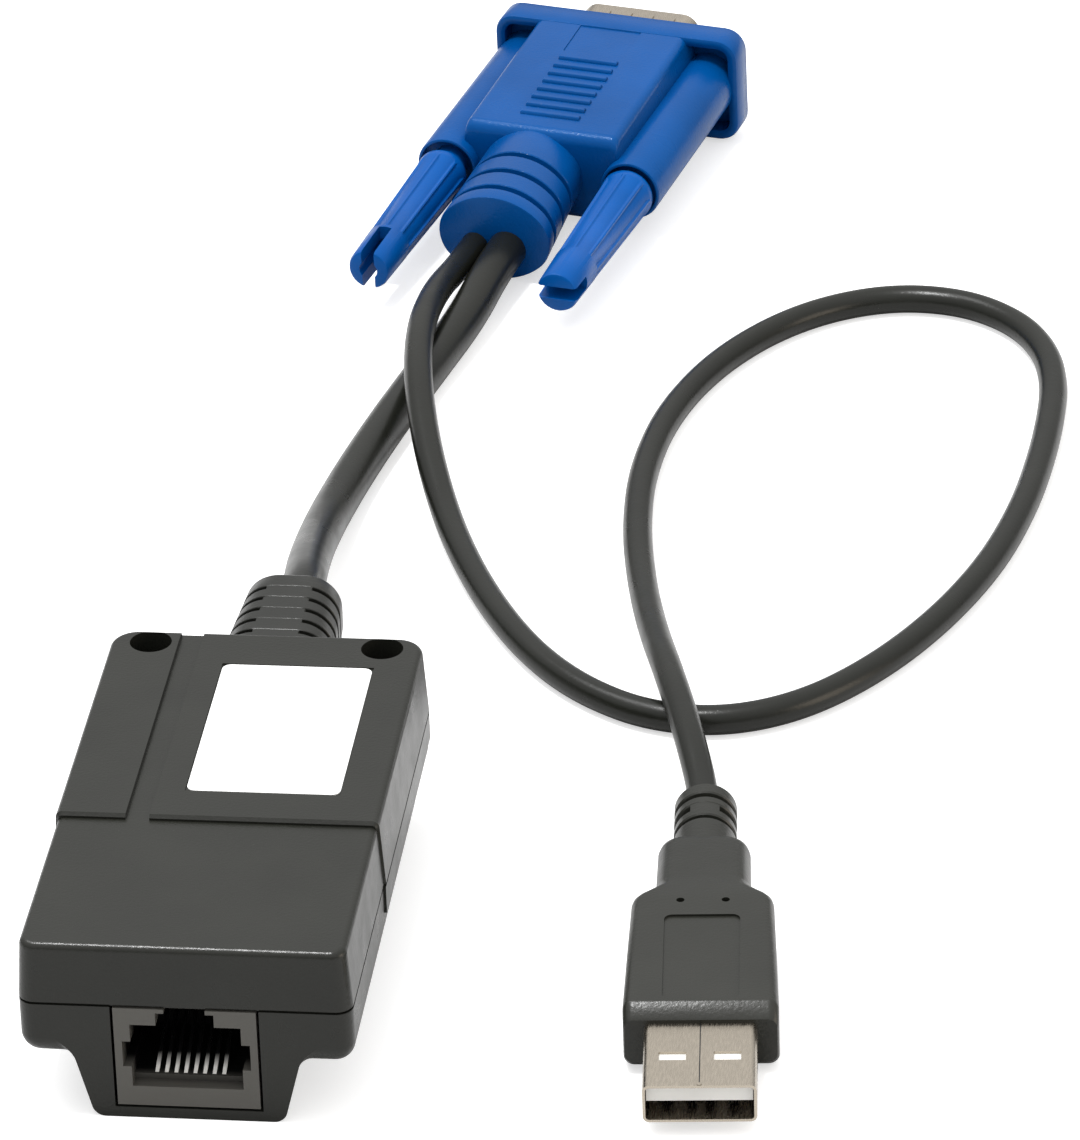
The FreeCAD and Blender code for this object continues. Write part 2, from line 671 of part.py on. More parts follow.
neck_high = boot_axis + d.neck_height / 2 + d.neck_gap
neck_place = (-neck_half, neck_half, hollow_back - LAP, back + OVER)
box(upper, "Pocket", *neck_place, d.split_height - OVER, neck_high)
channel_left = d.channel_centre - d.channel_width / 2
channel_right = d.channel_centre + d.channel_width / 2
box(upper, "Pocket", channel_left, channel_right, step - OVER, back + OVER, d.front_height, rear_top + OVER)
label_left = d.label_centre - d.label_width / 2
label_right = d.label_centre + d.label_width / 2
label_front = step + d.label_from_step
label_back = label_front + d.label_length
label_base = rear_top - d.label_recess
label_sides = (label_left - d.label_margin, label_right + d.label_margin)
label_ends = (label_front - d.label_margin, label_back + d.label_margin)
box(upper, "Pocket", *label_sides, *label_ends, label_base, rear_top + OVER)

# ---------------------------------------------------------------- lower shell: wings over a keel

lower = start_body("lower_shell")
keel_floor = d.jack_base - d.jack_gap
outline = [
    (-front_half, d.split_height),
    (-front_half, d.wing_height),
    (-keel_top_half, d.wing_height),
    (-keel_foot_half, NOTHING),
    (keel_foot_half, NOTHING),
    (keel_top_half, d.wing_height),
    (front_half, d.wing_height),
    (front_half, d.split_height),
]
pad(lower, polygon(lower, "XZ", front, outline), "XZ", d.housing_length)


def side_corner(edge, y, x):
    """Whether an upright corner stands at that end and side of the module."""
    return is_corner(edge, y) and near(abs(middle(edge).x), x)


def under_wing(edge, x):
    """Whether an edge runs along the wings' underside at that distance from the middle."""
    point = middle(edge)
    return runs_along(edge, Y_AXIS) and near(point.z, d.wing_height) and near(abs(point.x), x)


soften(lower, "Fillet", d.front_corner, lambda edge: side_corner(edge, front, front_half))
soften(lower, "Fillet", d.rear_corner, lambda edge: side_corner(edge, back, front_half))
soften(lower, "Fillet", d.wing_corner, lambda edge: under_wing(edge, front_half))
soften(lower, "Fillet", d.keel_corner, lambda edge: under_wing(edge, keel_top_half))
soften(lower, "Fillet", d.keel_corner, lambda edge: runs_along(edge, Y_AXIS) and near(middle(edge).z, 0))
box(lower, "Pad", -half_width, half_width, step, back, d.split_height - d.band_height, d.split_height)
soften(lower, "Fillet", d.rear_corner, lambda edge: side_corner(edge, back, half_width))
mating = d.split_height + OVER
box(lower, "Pocket", -inner_half, inner_half, hollow_front, hollow_back, wing_floor, mating)
keel_room = (-keel_inner_half, keel_inner_half, hollow_front, hollow_back)
box(lower, "Pocket", *keel_room, keel_floor, wing_floor + OVER)
port_room = jack_half + d.jack_gap
jack_back = front + d.jack_depth + d.jack_gap
box(lower, "Pocket", -port_room, port_room, front - OVER, jack_back, keel_floor, mating)
box(lower, "Pocket", *neck_place, neck_low, mating)
lower_bosses = circles(lower, "XY", wing_floor - LAP, screw_places, d.screw_bore + d.boss_wall * 2)
pad(lower, lower_bosses, "XY", d.split_height + LAP - wing_floor)
pilot_holes = circles(lower, "XY", wing_floor, screw_places, d.screw_bore)
pocket(lower, pilot_holes, "XY", mating - wing_floor)
lower_posts = circles(lower, "XY", wing_floor - LAP, post_places, d.post_bore)
pad(lower, lower_posts, "XY", jack_top + LAP - wing_floor)
post_pins = circles(lower, "XY", jack_top - LAP, post_places, d.pin_hole - d.running_gap * 2)
pad(lower, post_pins, "XY", d.board_thick + d.pin_rise + LAP - d.running_gap)

# ---------------------------------------------------------------- housing screws, label

screws = start_body("housing_screws")
shank = circles(screws, "XY", wing_floor + d.screw_tip_room, screw_places, d.screw_bore)
pad(screws, shank, "XY", recess_base - wing_floor)
heads = circles(screws, "XY", recess_base, screw_places, d.screw_head)
pad(screws, heads, "XY", d.screw_head_height)
recess_arm = d.screw_head * 0.3
recess_half = d.screw_head * 0.07
for x, y in screw_places:
    cross = [
        (x - recess_half, y - recess_arm),
        (x + recess_half, y - recess_arm),
        (x + recess_half, y - recess_half),
        (x + recess_arm, y - recess_half),
        (x + recess_arm, y + recess_half),
        (x + recess_half, y + recess_half),
        (x + recess_half, y + recess_arm),
        (x - recess_half, y + recess_arm),
        (x - recess_half, y + recess_half),
        (x - recess_arm, y + recess_half),
        (x - recess_arm, y - recess_half),
        (x - recess_half, y - recess_half),
    ]
    cross_base = recess_base + d.screw_head_height / 2
    pocket(screws, polygon(screws, "XY", cross_base, cross), "XY", d.screw_head_height)

label = start_body("label")
label_place = (label_left, label_right, label_front, label_back)
pad(label, rounded(label, "XY", label_base, *label_place, d.label_corner), "XY", d.label_thick)

# ---------------------------------------------------------------- board and what stands on it

board = start_body("circuit_board")
board_back = board_front + d.board_length
box(board, "Pad", -board_half, board_half, board_front, board_back, jack_top, board_top)
board_holes = circles(board, "XY", jack_top - OVER, post_places, d.pin_hole)
pocket(board, board_holes, "XY", d.board_thick + OVER * 2)


def chip(name, x, y, width, length, height):
    """A plain package standing on the board, chamfered round its top."""
    body = start_body(name)
    sides = (x - width / 2, x + width / 2)
    ends = (y - length / 2, y + length / 2)
    box(body, "Pad", *sides, *ends, board_top, board_top + height)
    soften(body, "Chamfer", height * 0.12, lambda edge: near(middle(edge).z, board_top + height))
    return body


chip_height = headroom * d.chip_share
chip("controller_chip", NOTHING, board_middle + d.chip_offset, d.chip_side, d.chip_side, chip_height)
chip("line_driver", NOTHING, board_middle - d.driver_offset, d.driver_length, d.driver_width, chip_height)
crystal_x = d.crystal_inset - board_half
chip("crystal", crystal_x, board_middle, d.crystal_width, d.crystal_length, headroom * d.crystal_share)
header_width = d.lead_pitch * d.lead_count
header_back = board_back - d.header_inset
header_y = header_back - d.header_length / 2
chip("wire_header", NOTHING, header_y, header_width, d.header_length, headroom * d.header_share)
lead_bore = headroom * d.lead_share
lead_height = board_top + lead_bore
leads = start_body("inner_leads")
lead_places = [
    (d.lead_pitch * (index - (d.lead_count - 1) / 2), lead_height)
    for index in range(int(d.lead_count.value))
]
lead_sketch = circles(leads, "XZ", header_back, lead_places, lead_bore)
pad(leads, lead_sketch, "XZ", collar_front - header_back)

# ---------------------------------------------------------------- socket

jack = start_body("jack_housing")
bezel_depth = d.housing_wall + d.jack_gap
bezel_top = d.split_height - d.seam
box(jack, "Pad", -jack_half, jack_half, front, front + d.jack_depth, d.jack_base, bezel_top)
box(jack, "Pad", -jack_half, jack_half, front + bezel_depth, front + d.jack_depth, bezel_top - LAP, jack_top)
port_low = d.jack_base + d.port_floor
port_high = d.jack_base + d.port_roof
ledge = port_low + d.ledge_rise
rebate_low = port_low + d.rebate_foot
rebate_high = port_high - d.rebate_head
rebate_half = d.port_half + d.port_rebate
slot_high = port_high + d.latch_rise
mouth = [
    (-d.port_half, ledge),
    (d.port_half, ledge),
    (d.port_half, rebate_low),
    (rebate_half, rebate_low),
    (rebate_half, rebate_high),
    (d.port_half, rebate_high),
    (d.port_half, port_high),
    (d.latch_half, port_high),
    (d.latch_half, slot_high),
    (-d.latch_half, slot_high),
    (-d.latch_half, port_high),
    (-d.port_half, port_high),
    (-d.port_half, rebate_high),
    (-rebate_half, rebate_high),
    (-rebate_half, rebate_low),
    (-d.port_half, rebate_low),
]
pocket(jack, polygon(jack, "XZ", front, mouth), "XZ", d.port_depth)
ledge_front = front + d.ledge_setback
notch_back = front + d.notch_depth
box(jack, "Pocket", -d.port_half, d.port_half, front - OVER, ledge_front, port_low, ledge + LAP)
box(jack, "Pocket", -d.notch_half, d.notch_half, front - OVER, notch_back, slot_high - LAP, bezel_top + OVER)

contacts = start_body("jack_contacts")
port_end = front + d.port_depth
first_contact = -(d.contact_pitch * ((d.contact_count - 1) / 2)) - d.contact_wire / 2
contact_front = ledge_front + d.contact_setback
spring = [
    (contact_front, ledge),
    (contact_front + d.contact_foot, ledge),
    (port_end, ledge + d.contact_rise),
    (port_end, ledge + d.contact_rise + d.contact_wire),
]
wire = pad(contacts, polygon(contacts, "YZ", first_contact, spring), "YZ", d.contact_wire)
repeat(contacts, [wire], "X_Axis", d.contact_pitch, d.contact_count)

# ---------------------------------------------------------------- strain relief boot

boot = start_body("cable_boot")
root = oval(boot, "XZ", back, d.boot_base_width, d.boot_base_height, d.boot_round, boot_axis)
tip = oval(boot, "XZ", boot_end, d.boot_end_width, d.boot_end_height, d.boot_round, boot_axis)
loft(boot, root, tip)
neck = oval(boot, "XZ", collar_front, d.neck_width, d.neck_height, d.housing_wall, boot_axis)
pad(boot, neck, "XZ", back + LAP - collar_front)
collar = oval(boot, "XZ", collar_front, d.collar_width, d.collar_height, d.housing_wall, boot_axis)
pad(boot, collar, "XZ", d.collar_depth)
core_side = d.boot_end_width / 2 - d.slot_depth
core_waist = d.boot_end_width / 2 - d.slot_waist
core_top = d.boot_end_height / 2 - d.slot_top
past_side, past_top = d.boot_base_width, d.boot_base_height
slot_outline = [
    (core_side, boot_axis - past_top),
    (core_side, boot_axis - core_top),
    (core_waist, boot_axis - core_top / 2),
    (core_waist, boot_axis + core_top / 2),
    (core_side, boot_axis + core_top),
    (core_side, boot_axis + past_top),
    (past_side, boot_axis + past_top),
    (past_side, boot_axis - past_top),
]
mirrored = [(-x, z) for x, z in slot_outline]
slot_first = boot_end - d.slot_inset - d.slot_pitch * (d.slot_count - 1)
slots = polygon(boot, "XZ", slot_first - d.slot_width / 2, slot_outline, mirrored)
slot_cut = pocket(boot, slots, "XZ", d.slot_width)
repeat(boot, [slot_cut], "Y_Axis", d.slot_pitch, d.slot_count)

# ---------------------------------------------------------------- VGA plug, round its own face centre

plug_place = (d.plug_east, d.plug_north, d.plug_rest, d.plug_turn, d.plug_tilt)
flange_half = d.flange_width / 2
sleeve_places = [(-d.screw_pitch / 2, NOTHING), (d.screw_pitch / 2, NOTHING)]
plate_front = d.shell_plate_thick
pocket_front = -d.flange_depth + d.flange_pocket
hood_end = -d.hood_length
relief_end = hood_end - d.relief_length
hood_top = d.hood_height / 2

hood = start_body("vga_hood")
flange = oval(hood, "XZ", -d.flange_depth, d.flange_width, d.flange_height, d.flange_corner)
pad(hood, flange, "XZ", d.flange_depth)
rim_half = flange_half - d.flange_rim
rim_high = d.flange_height / 2 - d.flange_rim
pocket_outline = corners_of(-rim_half, rim_half, -rim_high, rim_high)
pocket(hood, polygon(hood, "XZ", -d.flange_depth - OVER, pocket_outline), "XZ", d.flange_pocket + OVER)
hood_front = pocket_front + d.hood_lap
hood_front_top = d.flange_height / 2 - d.hood_step


def hood_section(offset, high):
    """Section of the hood's body: flat top and bottom, sides bulging at mid height."""
    waist = d.hood_half + d.hood_belly
    outline = [
        (-d.hood_half, -high),
        (d.hood_half, -high),
        (waist, NOTHING),
        (d.hood_half, high),
        (-d.hood_half, high),
        (-waist, NOTHING),
    ]
    return polygon(hood, "XZ", offset, outline)


def hood_shoulder(edge):
    """Whether an edge runs the length of the hood where its sides meet its top or bottom."""
    point = middle(edge)
    long_enough = edge.BoundBox.YLength > d.hood_length.value / 2
    return long_enough and near(abs(point.x), d.hood_half) and abs(point.z) > hood_top.value


loft(hood, hood_section(hood_end, hood_top), hood_section(hood_front, hood_front_top))
soften(hood, "Fillet", d.hood_edge, hood_shoulder)
bevel_side = d.hood_half + d.hood_belly + OVER
bevel = [
    (hood_end - OVER, hood_top - d.hood_bevel - OVER),
    (hood_end + d.hood_bevel + OVER, hood_top + OVER),
    (hood_end - OVER, hood_top + OVER),
]
under_bevel = [(y, -z) for y, z in bevel]
pocket(hood, polygon(hood, "YZ", -bevel_side, bevel, under_bevel), "YZ", bevel_side * 2)
sleeves = circles(hood, "XZ", -d.sleeve_length, sleeve_places, d.sleeve_bore)
pad(hood, sleeves, "XZ", d.sleeve_length + hood_front)
cut = d.relief_groove_depth
core_size = (d.relief_width - cut * 2, d.relief_height - cut * 2, d.relief_side - cut)
pad(hood, arched(hood, "XZ", relief_end, *core_size), "XZ", d.relief_length + LAP)
ring_pitch = d.relief_length / (d.relief_groove_count + 1)
ring = arched(hood, "XZ", relief_end, d.relief_width, d.relief_height, d.relief_side)
ring_pad = pad(hood, ring, "XZ", ring_pitch - d.relief_groove)
repeat(hood, [ring_pad], "Y_Axis", ring_pitch, d.relief_groove_count + 1)
top_slope = (hood_front_top - hood_top) / (hood_front - hood_end)
ridges = []
for index in range(int(d.ridge_count.value)):
    ridge_y = -d.ridge_first - d.ridge_pitch * index
    ridge_high = hood_top + top_slope * (ridge_y - hood_end) + d.ridge_rise
    foot, crest = d.ridge_width / 2, d.ridge_width * 0.3
    ridges.append([
        (ridge_y - crest, -ridge_high),
        (ridge_y + crest, -ridge_high),
        (ridge_y + foot, NOTHING),
        (ridge_y + crest, ridge_high),
        (ridge_y - crest, ridge_high),
        (ridge_y - foot, NOTHING),
    ])
pad(hood, polygon(hood, "YZ", -d.ridge_length / 2, *ridges), "YZ", d.ridge_length)
block_half = d.dee_width / 2 + d.block_side
block_high = d.dee_height / 2 + d.block_over
block_back = -d.insulator_depth
box(hood, "Pocket", -block_half, block_half, block_back, as_size(OVER), -block_high, block_high)
shaft_hole = d.shaft_bore + d.shaft_room
screw_holes = circles(hood, "XZ", -d.shoulder_setback - OVER, sleeve_places, shaft_hole)
pocket(hood, screw_holes, "XZ", d.shoulder_setback + OVER * 2)
sleeve_holes = circles(hood, "XZ", -d.sleeve_length - OVER, sleeve_places, d.sleeve_hole)
pocket(hood, sleeve_holes, "XZ", d.sleeve_length + OVER - d.shoulder_setback)
sleeve_mouths = circles(hood, "XZ", -d.sleeve_length - OVER, sleeve_places, d.sleeve_mouth)
pocket(hood, sleeve_mouths, "XZ", d.mouth_depth + OVER)

dee_slope = math.tan(math.radians(d.dee_slope.value))


def dee(inset):
    """D outline, wide side up, shrunk by inset all round."""
    inset = as_size(inset)
    high = d.dee_height / 2 - inset
    wide = d.dee_width / 2 - inset
    narrow = wide - high * 2 * dee_slope
    return [(-narrow, -high), (narrow, -high), (wide, high), (-wide, high)]


def dee_edge(edge):
    """Whether an edge runs along one of the D outline's corners."""
    point = middle(edge)
    return runs_along(edge, Y_AXIS) and abs(point.x) < block_half.value and abs(point.z) < block_high.value


metal = start_body("vga_shell")
plate = oval(metal, "XZ", NOTHING, d.shell_plate_width, d.shell_plate_height, d.plate_corner)
pad(metal, plate, "XZ", d.shell_plate_thick)
plate_holes = circles(metal, "XZ", NOTHING - OVER, sleeve_places, shaft_hole)
pocket(metal, plate_holes, "XZ", d.shell_plate_thick + OVER * 2)
pad(metal, polygon(metal, "XZ", plate_front - LAP, dee(0)), "XZ", d.dee_reach + LAP)
dee_front = plate_front + d.dee_reach
pocket(metal, polygon(metal, "XZ", NOTHING - OVER, dee(d.dee_wall)), "XZ", dee_front + OVER * 2)
soften(
    metal,
    "Fillet",
    d.dee_corner - d.dee_wall,
    lambda edge: dee_edge(edge) and near(abs(middle(edge).z), d.dee_height / 2 - d.dee_wall),
)
dee_half = d.dee_height / 2
soften(metal, "Fillet", d.dee_corner, lambda edge: dee_edge(edge) and near(abs(middle(edge).z), dee_half))

dimple_back = dee_front - d.dimple_setback
dimple_front = dimple_back - d.dimple_length
dimples = []
for index in range(int(d.dimple_count.value)):
    left = d.dimple_pitch * (index - (d.dimple_count - 1) / 2) - d.dimple_width / 2
    dimples.append(corners_of(left, left + d.dimple_width, dimple_front, dimple_back))
dimple_root = d.dee_wall / 2
for base in (d.dee_height / 2 - dimple_root, -d.dee_height / 2 - d.dimple_rise):
    pad(metal, polygon(metal, "XY", base, *dimples), "XY", dimple_root + d.dimple_rise)

insulator = start_body("vga_insulator")
block = polygon(insulator, "XZ", block_back, corners_of(-block_half, block_half, -block_high, block_high))
pad(insulator, block, "XZ", d.insulator_depth)
insert = polygon(insulator, "XZ", NOTHING - LAP, dee(d.dee_wall))
pad(insulator, insert, "XZ", LAP + d.shell_plate_thick + d.insulator_step)
soften(
    insulator,
    "Fillet",
    d.dee_corner - d.dee_wall,
    lambda edge: dee_edge(edge) and middle(edge).y > 0,
)
pin_rows = [(row, column) for row in (-1, 0, 1) for column in range(5)]
pin_places = []
for row, column in pin_rows:
    shift = d.pin_pitch * (column - 2) + d.pin_pitch * (0 if row else -0.5) + d.pin_pitch * 0.25
    pin_places.append((shift, d.row_pitch * row))
pin_root = -d.pin_root
pocket(insulator, circles(insulator, "XZ", pin_root, pin_places, d.pin_bore), "XZ", d.pin_reach)

pins = start_body("vga_pins")
pad(pins, circles(pins, "XZ", pin_root, pin_places, d.pin_bore), "XZ", d.pin_reach - pin_root)

for piece in (hood, metal, insulator, pins):
    place(piece, *plug_place)

# ---------------------------------------------------------------- thumbscrews, round their own axes

axle_bore = d.sleeve_hole - d.running_gap * 2
ring_back = -d.clip_setback - d.clip_width
ring_front = -d.clip_setback
screw_root = ring_back - d.screw_grip
axle_end = ring_front + d.ring_play + d.axle_nose


def knob(name, gap, upright_slot):
    """Moulded knob with its axle in the sleeve; the axle is grooved for the retaining ring."""
    body = start_body(name)
    near_face = -d.sleeve_length - gap
    far_face = near_face - d.knob_length
    end_radius = d.knob_end_bore / 2
    core_radius = d.shank_bore / 2
    axle_radius = axle_bore / 2
    groove_radius = d.groove_bore / 2
    half_section = [
        (NOTHING, far_face),
        (end_radius - d.knob_chamfer, far_face),
        (end_radius, far_face + d.knob_chamfer),
        (d.knob_bore / 2, near_face - d.knob_chamfer),
        (d.knob_bore / 2 - d.knob_chamfer, near_face),
        (axle_radius, near_face),
        (axle_radius, ring_back - d.ring_play),
        (groove_radius, ring_back - d.ring_play),
        (groove_radius, ring_front + d.ring_play),
        (axle_radius, ring_front + d.ring_play),
        (axle_radius, axle_end),
        (core_radius, axle_end),
        (core_radius, screw_root),
        (NOTHING, screw_root),
    ]
    turned = body.newObject("PartDesign::Revolution", "revolution")
    turned.Profile = polygon(body, "XY", NOTHING, half_section)
    axis = next(f for f in body.Origin.OriginFeatures if f.Role == "Y_Axis")
    turned.ReferenceAxis = (axis, [""])
    turned.Angle = 360
    rim = d.knob_bore / 2 + d.flute_bore * 0.1
    places = []
    for turn in range(8):
        angle = math.radians(45 * turn + 22.5)
        places.append((rim * round(math.cos(angle), 6), rim * round(math.sin(angle), 6)))
    flutes = circles(body, "XZ", far_face + d.knob_length * 0.16, places, d.flute_bore)
    pocket(body, flutes, "XZ", d.knob_length * 0.74)
    narrow, long = d.driver_slot / 2, d.knob_bore
    sides = (narrow, long) if upright_slot else (long, narrow)
    slot = polygon(body, "XZ", far_face - OVER, corners_of(-sides[0], sides[0], -sides[1], sides[1]))
    pocket(body, slot, "XZ", d.driver_slot_depth + OVER)
    end_hole = circles(body, "XZ", far_face - OVER, [(NOTHING, NOTHING)], d.knob_hole)
    pocket(body, end_hole, "XZ", d.driver_slot_depth + OVER * 2)
    return body


def steel_screw(name, gap):
    """Steel screw fixed in the knob's axle: a waisted shank with the thread in front of the plate."""
    body = start_body(name)
    middle_axis = [(NOTHING, NOTHING)]
    core = circles(body, "XZ", screw_root, middle_axis, d.shank_bore)
    thread_root = plate_front + d.thread_setback
    tip = d.shaft_reach - gap
    pad(body, core, "XZ", thread_root + LAP - screw_root)
    pad(body, circles(body, "XZ", thread_root, middle_axis, d.shaft_bore), "XZ", tip - thread_root)
    soften(body, "Chamfer", d.shaft_bore * 0.15, lambda edge: near(middle(edge).y, tip))
    return body


def retaining_ring(name):
    body = start_body(name)
    middle_axis = [(NOTHING, NOTHING)]
    pad(body, circles(body, "XZ", ring_back, middle_axis, axle_bore), "XZ", d.clip_width)
    hole = circles(body, "XZ", ring_back - OVER, middle_axis, d.groove_bore + d.running_gap * 2)
    pocket(body, hole, "XZ", d.clip_width + OVER * 2)
    return body


heading = math.radians(d.plug_turn.value)
across = (math.cos(heading), math.sin(heading))
for side, gap, upright_slot in (("left", d.left_gap, True), ("right", d.right_gap, False)):
    offset = d.screw_pitch / 2 * (-1 if side == "left" else 1)
    pieces = [
        knob(f"{side}_knob", gap, upright_slot),
        steel_screw(f"{side}_screw", gap),
        retaining_ring(f"{side}_ring"),
    ]
    east = d.plug_east + offset * across[0]
    north = d.plug_north + offset * across[1]
    for piece in pieces:
        place(piece, east, north, d.plug_rest, d.plug_turn, d.plug_tilt)

# ---------------------------------------------------------------- USB plug, round its own face centre

usb_place = (d.usb_east, d.usb_north, d.usb_body_height / 2, d.usb_turn)
usb_back = d.usb_shell_reach + d.usb_body_length
flare_back = usb_back + d.usb_flare_length
neck_back = flare_back + d.usb_neck_length
usb_end = neck_back + d.usb_relief_length
usb_high = d.usb_body_height / 2

mould = start_body("usb_overmould")
body_sketch = oval(mould, "XZ", d.usb_shell_reach, d.usb_body_width, d.usb_body_height, d.usb_corner)
pad(mould, body_sketch, "XZ", d.usb_body_length)
soften(mould, "Chamfer", d.usb_bevel, lambda edge: near(middle(edge).y, d.usb_shell_reach))
neck_high = d.usb_neck_height
flare_from = oval(mould, "XZ", usb_back, d.usb_body_width, d.usb_body_height, d.usb_corner)
flare_to = oval(mould, "XZ", flare_back, d.usb_neck_width, neck_high, d.usb_corner)
loft(mould, flare_from, flare_to)
pad(mould, oval(mould, "XZ", flare_back, d.usb_neck_width, neck_high, d.usb_corner), "XZ", d.usb_neck_length)
on_axis = [(NOTHING, NOTHING)]
usb_core = circles(mould, "XZ", neck_back - LAP, on_axis, d.usb_relief_core)
pad(mould, usb_core, "XZ", d.usb_relief_length + LAP)
usb_ring_pitch = (d.usb_relief_length - d.usb_cap) / d.usb_ring_count
usb_ring_start = neck_back + d.usb_ring_groove
usb_ring = circles(mould, "XZ", usb_ring_start, on_axis, d.usb_relief_bore)
usb_ring_pad = pad(mould, usb_ring, "XZ", usb_ring_pitch - d.usb_ring_groove)
repeat(mould, [usb_ring_pad], "Y_Axis", usb_ring_pitch, d.usb_ring_count)
pad(mould, circles(mould, "XZ", usb_end - d.usb_cap, on_axis, d.usb_relief_bore), "XZ", d.usb_cap)
panel_half = d.usb_panel_width / 2
panel_back = d.usb_shell_reach + d.usb_panel_length
panel_low = usb_high - d.usb_panel_depth
mould_front = d.usb_shell_reach - OVER
box(mould, "Pocket", -panel_half, panel_half, mould_front, panel_back, panel_low, usb_high + OVER)
usb_shell_back = d.usb_shell_reach + d.usb_shell_root
can_size = (d.usb_shell_width, d.usb_shell_height, d.usb_shell_corner)
pocket(mould, oval(mould, "XZ", mould_front, *can_size), "XZ", d.usb_shell_root + OVER)

can = start_body("usb_shell")
pad(can, oval(can, "XZ", NOTHING, *can_size), "XZ", usb_shell_back)
inner_width = d.usb_shell_width - d.usb_sheet * 2
inner_height = d.usb_shell_height - d.usb_sheet * 2
inner_corner = d.usb_shell_corner - d.usb_sheet
can_bore = oval(can, "XZ", NOTHING - OVER, inner_width, inner_height, inner_corner)
pocket(can, can_bore, "XZ", usb_shell_back + OVER * 2)
window_ends = (d.usb_window_from_face, d.usb_window_from_face + d.usb_window_length)
window_half = d.usb_window_width / 2
for centre in (-d.usb_window_centre, d.usb_window_centre):
    window = corners_of(centre - window_half, centre + window_half, *window_ends)
    pocket(can, polygon(can, "XY", -d.usb_shell_height, window), "XY", d.usb_shell_height * 2)

tongue = start_body("usb_tongue")
tongue_half = inner_width / 2 - d.usb_tongue_play
tongue_top = inner_height / 2
tongue_low = tongue_top - d.usb_tongue_thick
tongue_back = usb_shell_back - d.usb_tongue_root
box(tongue, "Pad", -tongue_half, tongue_half, d.usb_tongue_setback, usb_shell_back, tongue_low, tongue_top)
box(tongue, "Pad", -tongue_half, tongue_half, tongue_back, usb_shell_back, -tongue_top, tongue_top)


def tongue_shoulder(edge):
    """Whether an edge of the tongue lies in a corner of the metal shell."""
    return runs_along(edge, Y_AXIS) and near(abs(middle(edge).z), tongue_top)


soften(tongue, "Fillet", inner_corner, tongue_shoulder)

strips = start_body("usb_contacts")
strip_half = d.usb_strip_width / 2
for centre in (-d.usb_strip_spread, -d.usb_strip_inner, d.usb_strip_inner, d.usb_strip_spread):
    edges = (centre - strip_half, centre + strip_half, d.usb_strip_setback, tongue_back)
    box(strips, "Pad", *edges, tongue_low - d.usb_strip_thick, tongue_low)

for piece in (mould, can, tongue, strips):
    place(piece, *usb_place)

# ---------------------------------------------------------------- cables


def world_point(place_of, local):
    """A point given in a plug's own frame, in the world."""
    east, north, up, turn = place_of[:4]
    tilt = place_of[4].value if len(place_of) > 4 else 0
    heading = FreeCAD.Rotation(Z_AXIS, turn.value).multiply(FreeCAD.Rotation(X_AXIS, tilt))
    return V(east.value, north.value, up.value) + heading.multVec(V(*local))


def bent_wire(name, points):
    """Straight runs joined by tangent arcs; prints how tight the bends are."""
    runs = [end - start for start, end in zip(points, points[1:])]
    cuts = [0.0]
    radii = []
    for before, after in zip(runs, runs[1:]):
        turn = before.getAngle(after)
        cut = 0.45 * min(before.Length, after.Length)
        cuts.append(cut)
        radii.append(cut / math.tan(turn / 2))
    cuts.append(0.0)
    edges = []
    for index, run in enumerate(runs):
        along = V(run).normalize()
        start = points[index] + along * cuts[index]
        end = points[index + 1] - along * cuts[index + 1]
        edges.append(Part.LineSegment(start, end).toShape())
        if index + 1 < len(runs):
            corner = points[index + 1]
            onward = V(runs[index + 1]).normalize()
            leave = corner + onward * cuts[index + 1]
            bisector = (onward - along).normalize()
            half_turn = run.getAngle(runs[index + 1]) / 2
            radius = radii[index]
            crown = corner + bisector * (radius / math.cos(half_turn) - radius)
            edges.append(Part.Arc(end, crown, leave).toShape())
    spine = doc.addObject("Part::Feature", name + "_path")
    spine.Shape = Part.Wire(edges)
    print(f"{name}: {spine.Shape.Length:.1f} mm long, tightest bend {min(radii):.1f} mm, "
          f"runs {min(r.Length for r in runs):.1f} to {max(r.Length for r in runs):.1f} mm")
    for point, radius in zip(points[1:-1], radii):
        print(f"  bend {radius:.1f} mm at {point.x:.1f}, {point.y:.1f}, {point.z:.1f}")
    return spine


def cable(name, bore, points):
    """A round cable swept along its wire; the section is tied to the sheet."""
    spine = bent_wire(name, points)
    section = doc.addObject("Part::Circle", name + "_section")
    bind(section, "Radius", bore / 2)
    facing = FreeCAD.Rotation(Z_AXIS, points[1] - points[0])
    section.Placement = FreeCAD.Placement(points[0], facing)
    tube = doc.addObject("Part::Sweep", name)
    tube.Label = name
    tube.Sections = [section]
    tube.Spine = (spine, [f"Edge{i}" for i in range(1, len(spine.Shape.Edges) + 1)])
    tube.Solid = True
    tube.Frenet = False
    finished.append(tube)
    doc.recompute()
    expected = spine.Shape.Length * math.pi * (bore.value / 2) ** 2
    print(f"{name}: volume {tube.Shape.Volume:.0f} of {expected:.0f} mm3")


VIDEO_STRAIGHT, USB_STRAIGHT, ENTRY_STRAIGHT = 5.5, 6.0, 7.3  # straight cable outside the plugs' reliefs
relief_back = relief_end.value
video_rest = d.video_bore.value / 2
usb_rest = d.usb_bore.value / 2
video_start = V(0, boot_end.value, boot_axis.value)
exit_height = -d.exit_drop.value
video_exit = world_point(plug_place, (d.video_exit.value, relief_back, exit_height))
video_inner = world_point(plug_place, (d.video_exit.value, relief_back - VIDEO_STRAIGHT, exit_height))
usb_exit = world_point(plug_place, (-d.usb_exit.value, relief_back, exit_height))
usb_inner = world_point(plug_place, (-d.usb_exit.value, relief_back - USB_STRAIGHT, exit_height))
usb_entry = world_point(usb_place, (0, usb_end.value, 0))
usb_outer = world_point(usb_place, (0, usb_end.value + ENTRY_STRAIGHT, 0))

